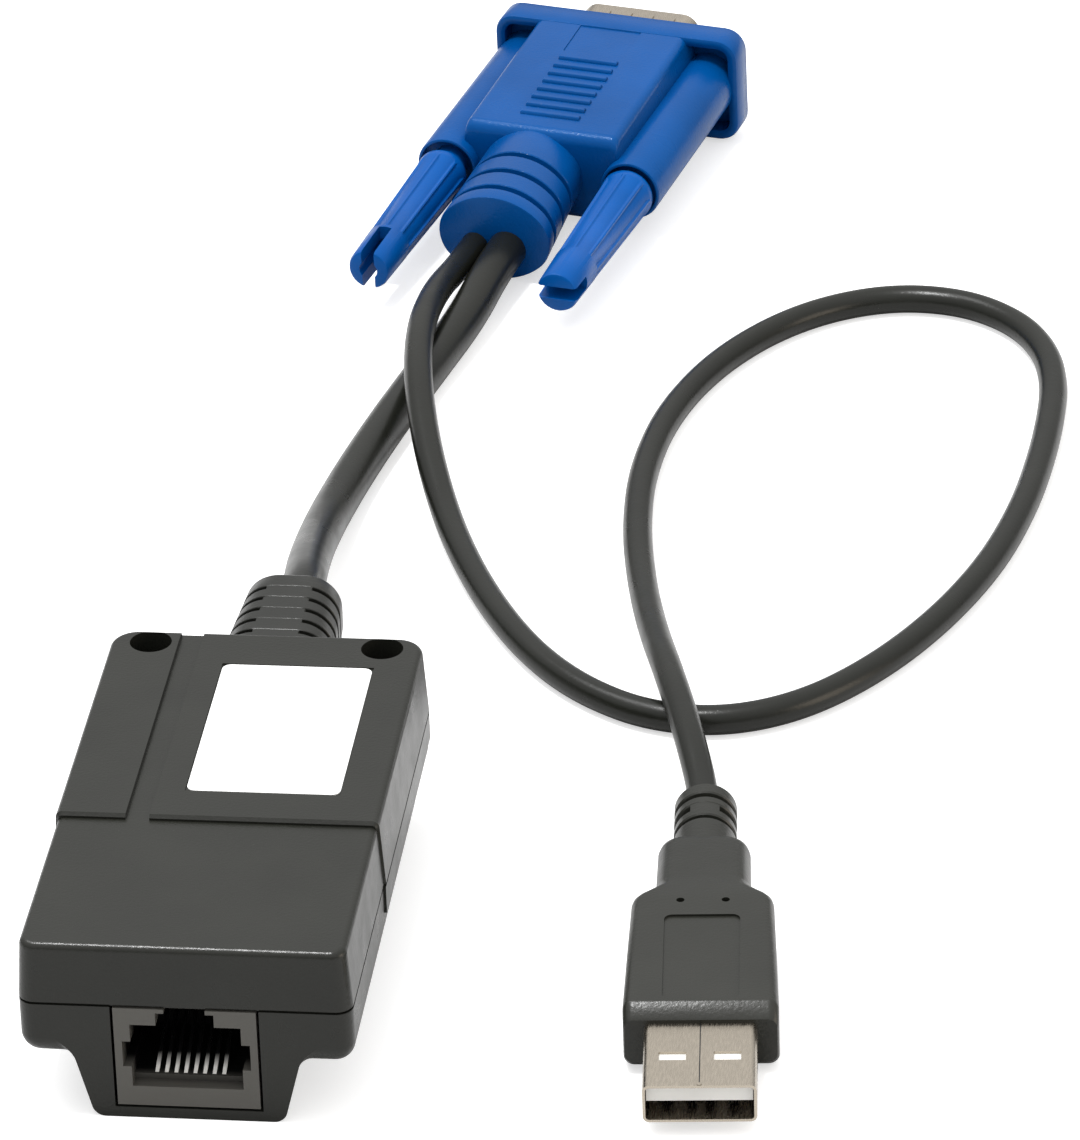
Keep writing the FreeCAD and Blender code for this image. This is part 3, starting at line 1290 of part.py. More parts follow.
video_bends = [
    V(0, 57.5, 13.6),
    V(-1.3, 69.3, 10.1),
    V(-2.2, 82.4, 6.2),
    V(-2.2, 95.2, 3.4),
    V(-0.8, 107.8, video_rest),
    V(1.6, 120.5, video_rest),
    V(4.4, 133.3, video_rest),
    V(7.8, 146.4, 3.2),
]
video_route = [video_start, *video_bends, video_inner, video_exit]
usb_bends = [
    V(3.7, 148.6, 7.2),
    V(3.4, 134.8, 10.25),
    V(4.8, 121.6, 10.25),
    V(7.6, 108.5, 6.2),
    V(11.7, 95.1, 2.6),
    V(16.5, 82.1, usb_rest),
    V(21.5, 71.3, usb_rest),
    V(26.6, 62.9, usb_rest),
    V(32.1, 55.8, usb_rest),
    V(40.0, 51.5, usb_rest),
    V(48.9, 51.0, usb_rest),
    V(57.5, 54.5, usb_rest),
    V(65.4, 63.4, usb_rest),
    V(71.8, 75.5, usb_rest),
    V(76.9, 89.1, usb_rest),
    V(79.9, 103.0, usb_rest),
    V(81.3, 115.3, usb_rest),
    V(81.9, 125.7, usb_rest),
    V(82.6, 134.8, usb_rest),
    V(81.5, 144.0, usb_rest),
    V(76.4, 151.8, usb_rest),
    V(68.4, 156.4, usb_rest),
    V(58.7, 157.1, usb_rest),
    V(48.3, 152.5, usb_rest),
    V(40.1, 140.5, usb_rest),
    V(35.3, 125.7, usb_rest),
    V(33.5, 110.4, usb_rest),
    V(34.2, 95.6, usb_rest),
    V(36.4, 81.2, 2.3),
    V(39.1, 67.5, 5.2),
    V(42.3, 53.9, 8.75),
    V(46.8, 40.2, 8.75),
]
usb_route = [usb_exit, usb_inner, *usb_bends, usb_outer, usb_entry]
cable("video_cable", d.video_bore, video_route)
cable("usb_cable", d.usb_bore, usb_route)

# ---------------------------------------------------------------- hand over

doc.recompute()
bad = [item.Name for item in doc.Objects if {"Invalid", "Error"} & set(item.State)]
for item in finished:
    shape = item.Shape
    if shape.isNull() or not shape.isValid():
        bad.append(item.Label)
    else:
        size = shape.BoundBox
        print(f"{item.Label}: {shape.Volume:.1f} mm3, {len(shape.Solids)} solids, "
              f"{size.XLength:.1f} x {size.YLength:.1f} x {size.ZLength:.1f}")
if bad:
    raise ValueError(f"invalid objects: {bad}")
for item in finished:
    item.Shape.exportStep(f"parts/{item.Label}.step")
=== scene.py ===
import json
import math
import bmesh
import bpy
from mathutils import Matrix, Vector


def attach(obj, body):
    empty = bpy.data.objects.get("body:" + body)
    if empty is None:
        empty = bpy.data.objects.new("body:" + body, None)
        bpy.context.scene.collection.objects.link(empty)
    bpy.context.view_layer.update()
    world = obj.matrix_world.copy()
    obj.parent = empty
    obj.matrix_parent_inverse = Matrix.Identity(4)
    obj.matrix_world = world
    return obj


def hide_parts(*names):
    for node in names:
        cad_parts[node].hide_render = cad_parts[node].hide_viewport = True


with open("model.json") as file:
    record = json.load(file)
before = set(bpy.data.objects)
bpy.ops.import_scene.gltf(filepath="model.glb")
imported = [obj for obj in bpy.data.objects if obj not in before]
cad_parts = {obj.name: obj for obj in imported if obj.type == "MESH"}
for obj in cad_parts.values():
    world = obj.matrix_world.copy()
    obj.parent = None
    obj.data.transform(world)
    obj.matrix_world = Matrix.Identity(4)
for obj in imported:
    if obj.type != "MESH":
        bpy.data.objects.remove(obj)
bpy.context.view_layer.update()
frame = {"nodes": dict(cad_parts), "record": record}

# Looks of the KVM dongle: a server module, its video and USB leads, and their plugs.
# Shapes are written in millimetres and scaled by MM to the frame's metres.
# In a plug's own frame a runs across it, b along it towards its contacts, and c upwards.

MM = 0.001


def add(name, data):
    """A new object in the scene."""
    thing = bpy.data.objects.new(name, data)
    bpy.context.scene.collection.objects.link(thing)
    return thing


# ---------------------------------------------------------------- camera

CAMERA_PLACE = (0.126949, -0.712577, 0.447216)
CAMERA_RIGHT = Vector((0.99327, 0.11209, -0.02914))
CAMERA_UP = Vector((-0.02905, 0.48468, 0.87421))
CAMERA_LENS = 259.33
CAMERA_SENSOR = 36

camera_data = bpy.data.cameras.new("camera")
camera_data.sensor_fit = "HORIZONTAL"
camera_data.sensor_width = CAMERA_SENSOR
camera_data.lens = CAMERA_LENS
camera = add("camera", camera_data)
camera_axes = Matrix((CAMERA_RIGHT, CAMERA_UP, CAMERA_RIGHT.cross(CAMERA_UP))).transposed()
camera.matrix_world = Matrix.Translation(CAMERA_PLACE) @ camera_axes.to_4x4()
bpy.context.scene.camera = camera
bpy.context.scene.view_settings.view_transform = "Standard"

# ---------------------------------------------------------------- material nodes

NOISE_LOW, NOISE_HIGH = 0.3, 0.7
BUMP_DISTANCE = 0.0001
MOTTLE_SCALE, SHEEN_SCALE, SPARKLE_SCALE, SCRATCH_SCALE = 90, 260, 2600, 900
COAT_ROUGHNESS, SPARKLE_DEPTH, SCRATCH_DEPTH = 0.2, 0.5, 0.05


def new_material(name):
    """A new node material, its node tree and its shader."""
    material = bpy.data.materials.new(name)
    material.use_nodes = True
    return material, material.node_tree, material.node_tree.nodes["Principled BSDF"]


def noise(tree, scale, detail, stretch=(1, 1, 1)):
    """Noise in the object's own metres; scale is features per metre."""
    place = tree.nodes.new("ShaderNodeTexCoord")
    mapping = tree.nodes.new("ShaderNodeMapping")
    mapping.inputs["Scale"].default_value = stretch
    texture = tree.nodes.new("ShaderNodeTexNoise")
    texture.inputs["Scale"].default_value = scale
    texture.inputs["Detail"].default_value = detail
    tree.links.new(place.outputs["Object"], mapping.inputs["Vector"])
    tree.links.new(mapping.outputs["Vector"], texture.inputs["Vector"])
    return texture.outputs["Fac"]


def spread(tree, factor, low, high):
    """Remap noise, which mostly keeps between NOISE_LOW and NOISE_HIGH, to low..high."""
    remap = tree.nodes.new("ShaderNodeMapRange")
    remap.inputs["From Min"].default_value = NOISE_LOW
    remap.inputs["From Max"].default_value = NOISE_HIGH
    remap.inputs["To Min"].default_value = low
    remap.inputs["To Max"].default_value = high
    tree.links.new(factor, remap.inputs["Value"])
    return remap.outputs["Result"]


def blend(tree, factor, dark, light):
    """Colour that runs from dark to light with a factor."""
    mix = tree.nodes.new("ShaderNodeMix")
    mix.data_type = "RGBA"
    mix.inputs["A"].default_value = (*dark, 1)
    mix.inputs["B"].default_value = (*light, 1)
    tree.links.new(factor, mix.inputs["Factor"])
    return mix.outputs["Result"]


def bump(tree, height, strength, normal):
    """Raise a surface by a height factor, through one of the shader's normal inputs."""
    node = tree.nodes.new("ShaderNodeBump")
    node.inputs["Strength"].default_value = strength
    node.inputs["Distance"].default_value = BUMP_DISTANCE
    tree.links.new(height, node.inputs["Height"])
    tree.links.new(node.outputs["Normal"], normal)


def moulded(
    name, colour, rough=0.5, grain=2500, depth=0.12, vary=0.12, specular=0.5, tint=(1, 1, 1), coat=0.0,
):
    """Moulded plastic or rubber: fine spark-eroded grain, slight mottling, uneven sheen, sparkling coat."""
    material, tree, shader = new_material(name)
    dark = tuple(c * (1 - vary) for c in colour)
    light = tuple(min(1, c * (1 + vary)) for c in colour)
    mottle = spread(tree, noise(tree, MOTTLE_SCALE, 4), 0, 1)
    tree.links.new(blend(tree, mottle, dark, light), shader.inputs["Base Color"])
    sheen = spread(tree, noise(tree, SHEEN_SCALE, 2), rough * 0.88, rough * 1.12)
    tree.links.new(sheen, shader.inputs["Roughness"])
    bump(tree, noise(tree, grain, 2), depth, shader.inputs["Normal"])
    shader.inputs["Specular IOR Level"].default_value = specular
    shader.inputs["Specular Tint"].default_value = (*tint, 1)
    if coat:
        shader.inputs["Coat Weight"].default_value = coat
        shader.inputs["Coat Roughness"].default_value = COAT_ROUGHNESS
        bump(tree, noise(tree, SPARKLE_SCALE, 2), SPARKLE_DEPTH, shader.inputs["Coat Normal"])
    return material


def metal(name, colour, rough=0.3, stretch=(1, 1, 12)):
    """Plated or drawn metal with fine lines along the axis that stretch squeezes least."""
    material, tree, shader = new_material(name)
    shader.inputs["Metallic"].default_value = 1
    lines = noise(tree, SCRATCH_SCALE, 4, stretch)
    dark = tuple(c * 0.86 for c in colour)
    tree.links.new(blend(tree, spread(tree, lines, 0, 1), dark, colour), shader.inputs["Base Color"])
    tree.links.new(spread(tree, lines, rough * 0.75, rough * 1.3), shader.inputs["Roughness"])
    bump(tree, lines, SCRATCH_DEPTH, shader.inputs["Normal"])
    return material


def paint_shade_along(name, start, stop, near_colour, shaded_colour):
    """Paint shade into a material: its colour runs from near to far between two places along the module, in
    millimetres.
    """
    tree = MATERIALS[name].node_tree
    place = tree.nodes.new("ShaderNodeTexCoord")
    split = tree.nodes.new("ShaderNodeSeparateXYZ")
    remap = tree.nodes.new("ShaderNodeMapRange")
    remap.inputs["From Min"].default_value = start * MM
    remap.inputs["From Max"].default_value = stop * MM
    tree.links.new(place.outputs["Object"], split.inputs["Vector"])
    tree.links.new(split.outputs["Y"], remap.inputs["Value"])
    faded = blend(tree, remap.outputs["Result"], near_colour, shaded_colour)
    tree.links.new(faded, tree.nodes["Principled BSDF"].inputs["Base Color"])


# ---------------------------------------------------------------- materials, one for each slot

BLUE_SHEEN = (0.15, 0.5, 1.0)
MOULDINGS = {
    "housing_black": dict(
        colour=(0.0125, 0.013, 0.0105), rough=0.3, grain=2600, depth=0.25, specular=0.22, coat=0.12,
    ),
    "boot_black": dict(
        colour=(0.012, 0.0125, 0.0105), rough=0.38, grain=2200, depth=0.18, specular=0.24, coat=0.12,
    ),
    "cable_jacket": dict(
        colour=(0.0075, 0.008, 0.006), rough=0.3, grain=1600, depth=0.12, specular=0.2, coat=0.14,
    ),
    "overmould_black": dict(
        colour=(0.015, 0.0155, 0.0125), rough=0.34, grain=2400, depth=0.3, specular=0.24, coat=0.14,
    ),
    "hood_blue": dict(
        colour=(0.0, 0.05, 0.2), rough=0.3, grain=2600, depth=0.25, vary=0.1, specular=0.16,
        tint=BLUE_SHEEN, coat=0.16,
    ),
    "knob_blue": dict(
        colour=(0.0, 0.062, 0.26), rough=0.32, grain=2600, depth=0.16, vary=0.1, specular=0.16,
        tint=BLUE_SHEEN, coat=0.14,
    ),
    "label_white": dict(
        colour=(0.72, 0.72, 0.71), rough=0.45, grain=1200, depth=0.04, vary=0.02, specular=0.3,
    ),
    "socket_black": dict(colour=(0.02, 0.019, 0.017), rough=0.35, grain=1500, depth=0.08, specular=0.3),
    "contact_gold": dict(colour=(0.8, 0.7, 0.5), rough=0.3, grain=900, depth=0.02),
    "board_green": dict(colour=(0.01, 0.09, 0.035), rough=0.4, grain=900, depth=0.1),
    "chip_black": dict(colour=(0.012, 0.012, 0.012), rough=0.6, grain=3000, depth=0.2),
    "header_white": dict(colour=(0.7, 0.67, 0.6)),
    "lead_insulation": dict(colour=(0.06, 0.06, 0.07)),
    "insulator_black": dict(colour=(0.01, 0.01, 0.01)),
    "ring_nylon": dict(colour=(0.7, 0.7, 0.66)),
    "tongue_white": dict(colour=(0.6, 0.59, 0.56), rough=0.4),
}
METALS = {
    "plug_metal": dict(colour=(0.46, 0.41, 0.34), rough=0.26, stretch=(10, 1, 10)),
    "screw_steel": dict(colour=(0.6, 0.58, 0.54), rough=0.28, stretch=(6, 1, 6)),
    "dark_steel": dict(colour=(0.05, 0.05, 0.05), rough=0.4),
    "can_metal": dict(colour=(0.7, 0.7, 0.7)),
}
MATERIALS = {name: moulded(name, **look) for name, look in MOULDINGS.items()}
MATERIALS.update({name: metal(name, **look) for name, look in METALS.items()})
# Painted shade: the jack's housing keeps its lighter grey-brown tone at the mouth and its colour darkens to
# black deeper inside the jack, where shade falls.
paint_shade_along("socket_black", -32.2, -30.5, near_colour=(0.075, 0.072, 0.064), shaded_colour=(0.003, 0.003, 0.003))
# Painted shade: the contacts are near-white at their tips by the mouth and their colour darkens to black
# deeper inside the jack.
paint_shade_along("contact_gold", -30.4, -28.6, near_colour=(0.95, 0.93, 0.88), shaded_colour=(0.004, 0.004, 0.004))
for part in frame["record"]["subparts"]:
    node = frame["nodes"][part["node"]]
    node.data.materials.clear()
    node.data.materials.append(MATERIALS[part["material_slot"]])

# ---------------------------------------------------------------- leads

VIDEO_RADIUS, USB_RADIUS = 2.5, 1.75
VIDEO = [
    (0, 51, 14.2), (0, 57.5, 13.6), (-1.3, 69.3, 10.1), (-2.2, 82.4, 6.2), (-2.2, 95.2, 3.4),
    (-0.8, 107.8, 2.5), (1.6, 120.5, 2.5), (4.4, 133.3, 2.5), (7.8, 146.4, 3.2), (9.75, 157.4, 4.44),
    (11.03, 162.74, 4.66),
]
USB = [
    (6.75, 163.77, 4.66), (5.36, 157.93, 4.42), (3.65, 148.5, 5.8), (3.4, 134.8, 7.6), (4.8, 121.6, 7.2),
    (7.6, 108.5, 4.6), (11.7, 95.1, 2.1), (16.5, 82.1, 1.75), (21.5, 71.3, 1.75), (26.6, 62.9, 1.75),
    (32.6, 56.2, 1.75), (40.0, 51.4, 1.75), (48.7, 50.4, 1.75), (57.4, 54.6, 1.75), (65.2, 63.6, 1.75),
    (71.8, 75.5, 1.75), (76.9, 89.1, 1.75), (79.9, 103.0, 1.75), (81.3, 115.3, 1.75), (81.9, 125.7, 1.75),
    (81.9, 135.0, 1.75), (80.4, 143.9, 1.75), (76.3, 151.7, 1.75), (68.9, 157.1, 1.75), (59.1, 157.6, 1.75),
    (48.9, 151.7, 1.75), (40.5, 140.2, 1.75), (35.3, 125.7, 1.75), (33.5, 110.4, 1.75), (34.2, 95.6, 1.75),
    (36.4, 81.2, 2.0), (39.1, 67.5, 3.8), (42.3, 53.9, 6.2), (46.0, 40.1, 6.0), (48.92, 28.64, 4.0),
    (49.53, 21.36, 4.0),
]


def lead(name, radius, points, replaced):
    """A round cable on a smooth open NURBS line through the air and along the table."""
    curve = bpy.data.curves.new(name, "CURVE")
    curve.dimensions = "3D"
    curve.bevel_depth = radius * MM
    curve.bevel_resolution = 10
    curve.resolution_u = 14
    spline = curve.splines.new("NURBS")
    spline.points.add(len(points) - 1)
    for point, place in zip(spline.points, points):
        point.co = (*(c * MM for c in place), 1)
    spline.order_u = 3
    spline.use_endpoint_u = True
    curve.materials.append(MATERIALS["cable_jacket"])
    piece = add(name, curve)
    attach(piece, "dongle")
    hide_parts(replaced)
    return piece


video_cable = lead("video_lead", VIDEO_RADIUS, VIDEO, "video_cable")
usb_cable = lead("usb_lead", USB_RADIUS, USB, "usb_cable")

# ---------------------------------------------------------------- places of the moulded pieces

MODULE = Matrix.Identity(4)
PLUG = (
    Matrix.Translation((20.9, 211.7, 7.87))
    @ Matrix.Rotation(math.radians(-13.46), 4, "Z")
    @ Matrix.Rotation(math.radians(2.3), 4, "X")
)
USB_PLUG = Matrix.Translation((54.0, -32.6, 4.0)) @ Matrix.Rotation(math.radians(4.74), 4, "Z")
STAND_UP = Matrix.Rotation(math.radians(90), 4, "X")

# ---------------------------------------------------------------- rings and lofts

SHARP_ANGLE = math.radians(32)
CUTTER_HALF = 0.5


def rounded_ring(width, height, corner, b, a=0.0, steps=8):
    """Rounded rectangle across the b direction."""
    corner = min(corner, width / 2 - 0.01, height / 2 - 0.01)
    points = []
    for quarter, (sx, sy) in enumerate(((1, 1), (-1, 1), (-1, -1), (1, -1))):
        for i in range(steps + 1):
            angle = math.pi / 2 * (quarter + i / steps)
            x = sx * (width / 2 - corner) + corner * math.cos(angle)
            y = sy * (height / 2 - corner) + corner * math.sin(angle)
            points.append((a + x, b, y))
    return points


def circle_ring(radius, b, a=0.0, steps=48):
    """Circle across the b direction."""
    turns = [math.tau * i / steps for i in range(steps)]
    return [(a + radius * math.cos(turn), b, radius * math.sin(turn)) for turn in turns]


def arched_ring(width, height, side_radius, b, steps=14):
    """Flattened oval of four tangent arcs across the b direction."""
    side = width / 2 - side_radius
    rest = height / 2 - side_radius
    drop = (side * side - rest * rest) / (2 * rest)
    joint = math.atan2(drop, side)
    crown = height / 2 + drop
    arcs = [
        (side, 0, side_radius, -joint, joint),
        (0, -drop, crown, joint, math.pi - joint),
        (-side, 0, side_radius, math.pi - joint, math.pi + joint),
        (0, drop, crown, math.pi + joint, math.tau - joint),
    ]
    points = []
    for x, z, radius, begin, end in arcs:
        for i in range(steps):
            angle = begin + (end - begin) * i / steps
            points.append((x + radius * math.cos(angle), b, z + radius * math.sin(angle)))
    return points


def loft(*stacks):
    """A bmesh with one closed skin, flat at both ends, over each stack of equal rings."""
    bm = bmesh.new()
    for rings in stacks:
        rows = [[bm.verts.new(point) for point in ring] for ring in rings]
        for here, there in zip(rows, rows[1:]):
            for i in range(len(here)):
                j = (i + 1) % len(here)
                bm.faces.new((here[i], here[j], there[j], there[i]))
        bm.faces.new(list(reversed(rows[0])))
        bm.faces.new(rows[-1])
    return bm


def flat_cutter(width, length, corner):
    """A flat rounded block, CUTTER_HALF thick to each side, that sinks a panel."""
    return loft([rounded_ring(width, length, corner, b) for b in (-CUTTER_HALF, CUTTER_HALF)])


def mesh_object(name, bm, place):
    """Turn a bmesh in local millimetres into an object in metres."""
    bmesh.ops.recalc_face_normals(bm, faces=bm.faces)
    mesh = bpy.data.meshes.new(name)
    bm.to_mesh(mesh)
    bm.free()
    mesh.transform(Matrix.Scale(MM, 4) @ place)
    return add(name, mesh)


def finish_piece(name, bm, place, slot, body="dongle", replaced=()):
    """Turn a bmesh in local millimetres into a smooth-shaded piece riding on a body."""
    piece = mesh_object(name, bm, place)
    mesh = piece.data
    mesh.polygons.foreach_set("use_smooth", [True] * len(mesh.polygons))
    mesh.set_sharp_from_angle(angle=SHARP_ANGLE)
    mesh.materials.append(MATERIALS[slot])
    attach(piece, body)
    if replaced:
        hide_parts(*replaced)
    return piece


def carve(piece, cutters):
    """Cut closed shapes, given as bmeshes in local millimetres and their places, out of a piece."""
    for bm, place in cutters:
        cutter = mesh_object("cutter", bm, place)
        modifier = piece.modifiers.new("cut", "BOOLEAN")
        modifier.object = cutter
        modifier.solver = "EXACT"
        bpy.context.view_layer.update()
        evaluated = piece.evaluated_get(bpy.context.evaluated_depsgraph_get())
        carved = bpy.data.meshes.new_from_object(evaluated)
        piece.modifiers.clear()
        old = piece.data
        piece.data = carved
        bpy.data.meshes.remove(old)
        bpy.data.objects.remove(cutter)
    piece.data.set_sharp_from_angle(angle=SHARP_ANGLE)


# ---------------------------------------------------------------- strain relief boot

# A boot section: its place, how far inward it lies, and whether a slot cuts it down to the core.

BOOT_AXIS, BOOT_START, BOOT_END, BOOT_CORNER = 14.2, 33.0, 51.0, 3.9
BOOT_WIDTH, BOOT_NARROWS = 12.9, 1.9
BOOT_HEIGHT, BOOT_FALLS = 11.4, 1.4
BOOT_CORE_TOP, BOOT_CORE_WAIST, BOOT_CORE_HALF = 2.6, 3.9, 2.25
BOOT_PLAIN = 0.6
BOOT_SLOTS, BOOT_SLOT_FIRST, BOOT_SLOT_PITCH = 5, 36.8, 2.7
BOOT_SLOT_SECTIONS = [
    (-0.5, 0, False), (-0.42, 0.06, False), (-0.4, 0.06, True),
    (0.4, 0.06, True), (0.42, 0.06, False), (0.5, 0, False),
]
BOOT_END_ROUNDING = [(0.5, 0, False), (0.2, 0.1, False), (0, 0.35, False)]


def boot_ring(y, inward, slotted):
    """Boot section; a slot leaves only the core below the flat band on top and above the one below."""
    along = (y - BOOT_START) / (BOOT_END - BOOT_START)
    width, height = BOOT_WIDTH - BOOT_NARROWS * along, BOOT_HEIGHT - BOOT_FALLS * along
    ring = []
    for x, _, z in rounded_ring(width - 2 * inward, height - 2 * inward, BOOT_CORNER, y, steps=12):
        if slotted:
            rise = min(1, max(0, abs(z) / BOOT_CORE_HALF - 1))
            core = BOOT_CORE_WAIST + (BOOT_CORE_TOP - BOOT_CORE_WAIST) * rise
            if abs(x) > core:
                x = math.copysign(core + 0.02 * (abs(x) - core), x)
        ring.append((x, y, BOOT_AXIS + z))
    return ring


stations = [(BOOT_START, 0, False), (BOOT_START + BOOT_PLAIN, 0, False)]
for i in range(BOOT_SLOTS):
    centre = BOOT_SLOT_FIRST + BOOT_SLOT_PITCH * i
    stations += [(centre + offset, inward, slotted) for offset, inward, slotted in BOOT_SLOT_SECTIONS]
stations += [(BOOT_END - before, inward, slotted) for before, inward, slotted in BOOT_END_ROUNDING]
boot = loft([boot_ring(*station) for station in stations])
finish_piece("boot", boot, MODULE, "boot_black", replaced=["cable_boot"])

# ---------------------------------------------------------------- VGA hood: body with its sunk panel

# A row of HOOD_END_ROUNDING: how far before the rear end, how far the top sinks, how far the sides go in.

HOOD_END, HOOD_FRONT = -32.0, -1.36
HOOD_LOW, HOOD_HIGH = 6.2, 7.2
HOOD_HALF, HOOD_BELLY, HOOD_CORNER = 10.4, 0.5, 1.1
HOOD_END_ROUNDING = [
    (1.5, 0, 0), (1.15, 0.05, 0), (0.85, 0.18, 0), (0.55, 0.4, 0), (0.3, 0.7, 0), (0.1, 1.1, 0.05),
    (0, 1.5, 0.15),
]
HOOD_PANEL_MIDDLE, HOOD_PANEL_WIDTH, HOOD_PANEL_LENGTH = -7.5, 8.4, 8.0
HOOD_PANEL_CORNER, HOOD_PANEL_DEPTH = 0.5, 0.14


def hood_height(b):
    """Half height of the hood's body, which falls from the flange to the relief."""
    return HOOD_LOW + (HOOD_HIGH - HOOD_LOW) * (b - HOOD_END) / (HOOD_FRONT - HOOD_END)


def body_ring(b, drop, inward, steps=10):
    """Hood section: flat top and bottom, rounded shoulders, sides bulging a little at mid height."""
    half, corner = HOOD_HALF - inward, HOOD_CORNER
    high = hood_height(b) - drop
    quarter = []
    for i in range(steps + 1):
        z = (high - corner) * i / steps
        quarter.append((half + HOOD_BELLY * (1 - (z / (high - corner)) ** 2), z))
    for i in range(1, steps + 1):
        angle = math.pi / 2 * i / steps
        quarter.append((half - corner + corner * math.cos(angle), high - corner + corner * math.sin(angle)))
    right_side = [(x, -z) for x, z in reversed(quarter[1:])] + quarter
    left_side = [(-x, -z) for x, z in right_side]
    return [(x, b, z) for x, z in right_side + left_side]


sections = [(HOOD_FRONT, 0, 0)]
sections += [(HOOD_END + before, drop, inward) for before, drop, inward in HOOD_END_ROUNDING]
hood_body = loft([body_ring(*section) for section in sections])
hood_block = finish_piece("hood_block", hood_body, PLUG, "hood_blue")
panel = flat_cutter(HOOD_PANEL_WIDTH, HOOD_PANEL_LENGTH, HOOD_PANEL_CORNER)
panel_tilt = math.atan((HOOD_HIGH - HOOD_LOW) / (HOOD_FRONT - HOOD_END))
panel_rise = hood_height(HOOD_PANEL_MIDDLE) + CUTTER_HALF - HOOD_PANEL_DEPTH
panel_place = (
    Matrix.Translation((0, HOOD_PANEL_MIDDLE, panel_rise)) @ Matrix.Rotation(panel_tilt, 4, "X") @ STAND_UP
)
carve(hood_block, [(panel, PLUG @ panel_place)])

# ---------------------------------------------------------------- VGA hood: flange, sleeves, relief, ridges

# Profiles are pairs of a place along b and how far the surface lies inward there; a sleeve's mouth has
# the distance inside its end and the radius. A ridge section has its rise and its two half sizes.

FLANGE_WIDTH, FLANGE_HEIGHT, FLANGE_CORNER, FLANGE_MIDDLE = 33.6, 14.6, 2.8, 0.5
FLANGE_PROFILE = [
    (0.0, 0.5), (-0.15, 0.2), (-0.5, 0), (-3.9, 0), (-4.25, 0.15), (-4.4, 0.45), (-4.4, 0.9), (-4.2, 1.3),
    (-1.7, 1.4),
]
SLEEVE_SIDE, SLEEVE_END, SLEEVE_RADIUS = 12.495, -33.5, 4.0
SLEEVE_MOUTH = [
    (0.3, 4.0), (0.08, 3.93), (0, 3.8), (0, 3.62), (0.08, 3.55), (1.5, 3.5), (1.5, 2.35), (6, 2.3),
]
RELIEF_START, RELIEF_END, RELIEF_LENGTH = -31.4, -50.0, 18
RELIEF_WIDTH, RELIEF_WIDENS = 13.4, 1.6
RELIEF_HEIGHT, RELIEF_RISES = 11.4, 0.3
RELIEF_LEAN, RELIEF_LEANS_BACK = -1.2, 1.25
RELIEF_SIDE_RADIUS, RELIEF_LIFT = 4.8, 0.1
RELIEF_GROOVES = [-38.0, -42.5, -47.0]
GROOVE_SECTIONS = [(0.68, 0), (0.55, 0.12), (0.48, 0.8), (-0.48, 0.8), (-0.55, 0.12), (-0.68, 0)]
RELIEF_END_ROUNDING = [(0.25, 0), (0.07, 0.08), (0, 0.3)]
RIDGE_COUNT, RIDGE_FIRST, RIDGE_PITCH = 8, -13.2, 2.1
RIDGE_SECTIONS = [(-0.4, 4.0, 0.46), (0.0, 4.0, 0.46), (0.3, 3.98, 0.34), (0.4, 3.88, 0.22)]


def flange_rings():
    """The flange from its front edge over the rim and down into the pocket behind it."""
    rings = []
    for b, inward in FLANGE_PROFILE:
        width, height = FLANGE_WIDTH - 2 * inward, FLANGE_HEIGHT - 2 * inward
        rings.append(rounded_ring(width, height, FLANGE_CORNER - inward, b, FLANGE_MIDDLE))
    return rings


def sleeve_rings(side):
    """A thumbscrew's sleeve, with the mouth that its knob turns in."""
    profile = [(HOOD_FRONT, SLEEVE_RADIUS)]
    profile += [(SLEEVE_END + inside, radius) for inside, radius in SLEEVE_MOUTH]
    return [circle_ring(radius, b, side * SLEEVE_SIDE) for b, radius in profile]


def relief_ring(b, inward):
    """Relief section; it widens and its middle moves to the right towards its end."""
    along = (HOOD_END - b) / RELIEF_LENGTH
    width, height = RELIEF_WIDTH + RELIEF_WIDENS * along, RELIEF_HEIGHT + RELIEF_RISES * along
    middle = RELIEF_LEAN + RELIEF_LEANS_BACK * along
    ring = arched_ring(width - 2 * inward, height - 2 * inward, RELIEF_SIDE_RADIUS - inward, b)
    return [(x + middle, y, z + RELIEF_LIFT) for x, y, z in ring]


def relief_rings():
    """The relief with its grooves and rounded end."""
    profile = [(RELIEF_START, 0)]
    for centre in RELIEF_GROOVES:
        profile += [(centre + offset, inward) for offset, inward in GROOVE_SECTIONS]
    profile += [(RELIEF_END + before, inward) for before, inward in RELIEF_END_ROUNDING]
    return [relief_ring(b, inward) for b, inward in profile]


def ridge_rings(centre, face):
    """A grip ridge that follows the slope of the hood's top, face 1, or bottom, face -1."""
    rings = []
    for lift, half_a, half_b in RIDGE_SECTIONS:
        corners = ((-half_a, -half_b), (half_a, -half_b), (half_a, half_b), (-half_a, half_b))
        rings.append([(a, centre + b, face * (hood_height(centre + b) + lift)) for a, b in corners])
    return rings


ridge_centres = [RIDGE_FIRST - RIDGE_PITCH * i for i in range(RIDGE_COUNT)]
ridges = [ridge_rings(centre, face) for centre in ridge_centres for face in (-1, 1)]
hood = loft(flange_rings(), sleeve_rings(-1), sleeve_rings(1), relief_rings(), *ridges)
finish_piece("hood", hood, PLUG, "hood_blue", replaced=["vga_hood"])

# ---------------------------------------------------------------- thumbscrew knobs

# A row of KNOB_NEAR or KNOB_FAR: distance from that end's face, how far inward, how high the ribs stand.

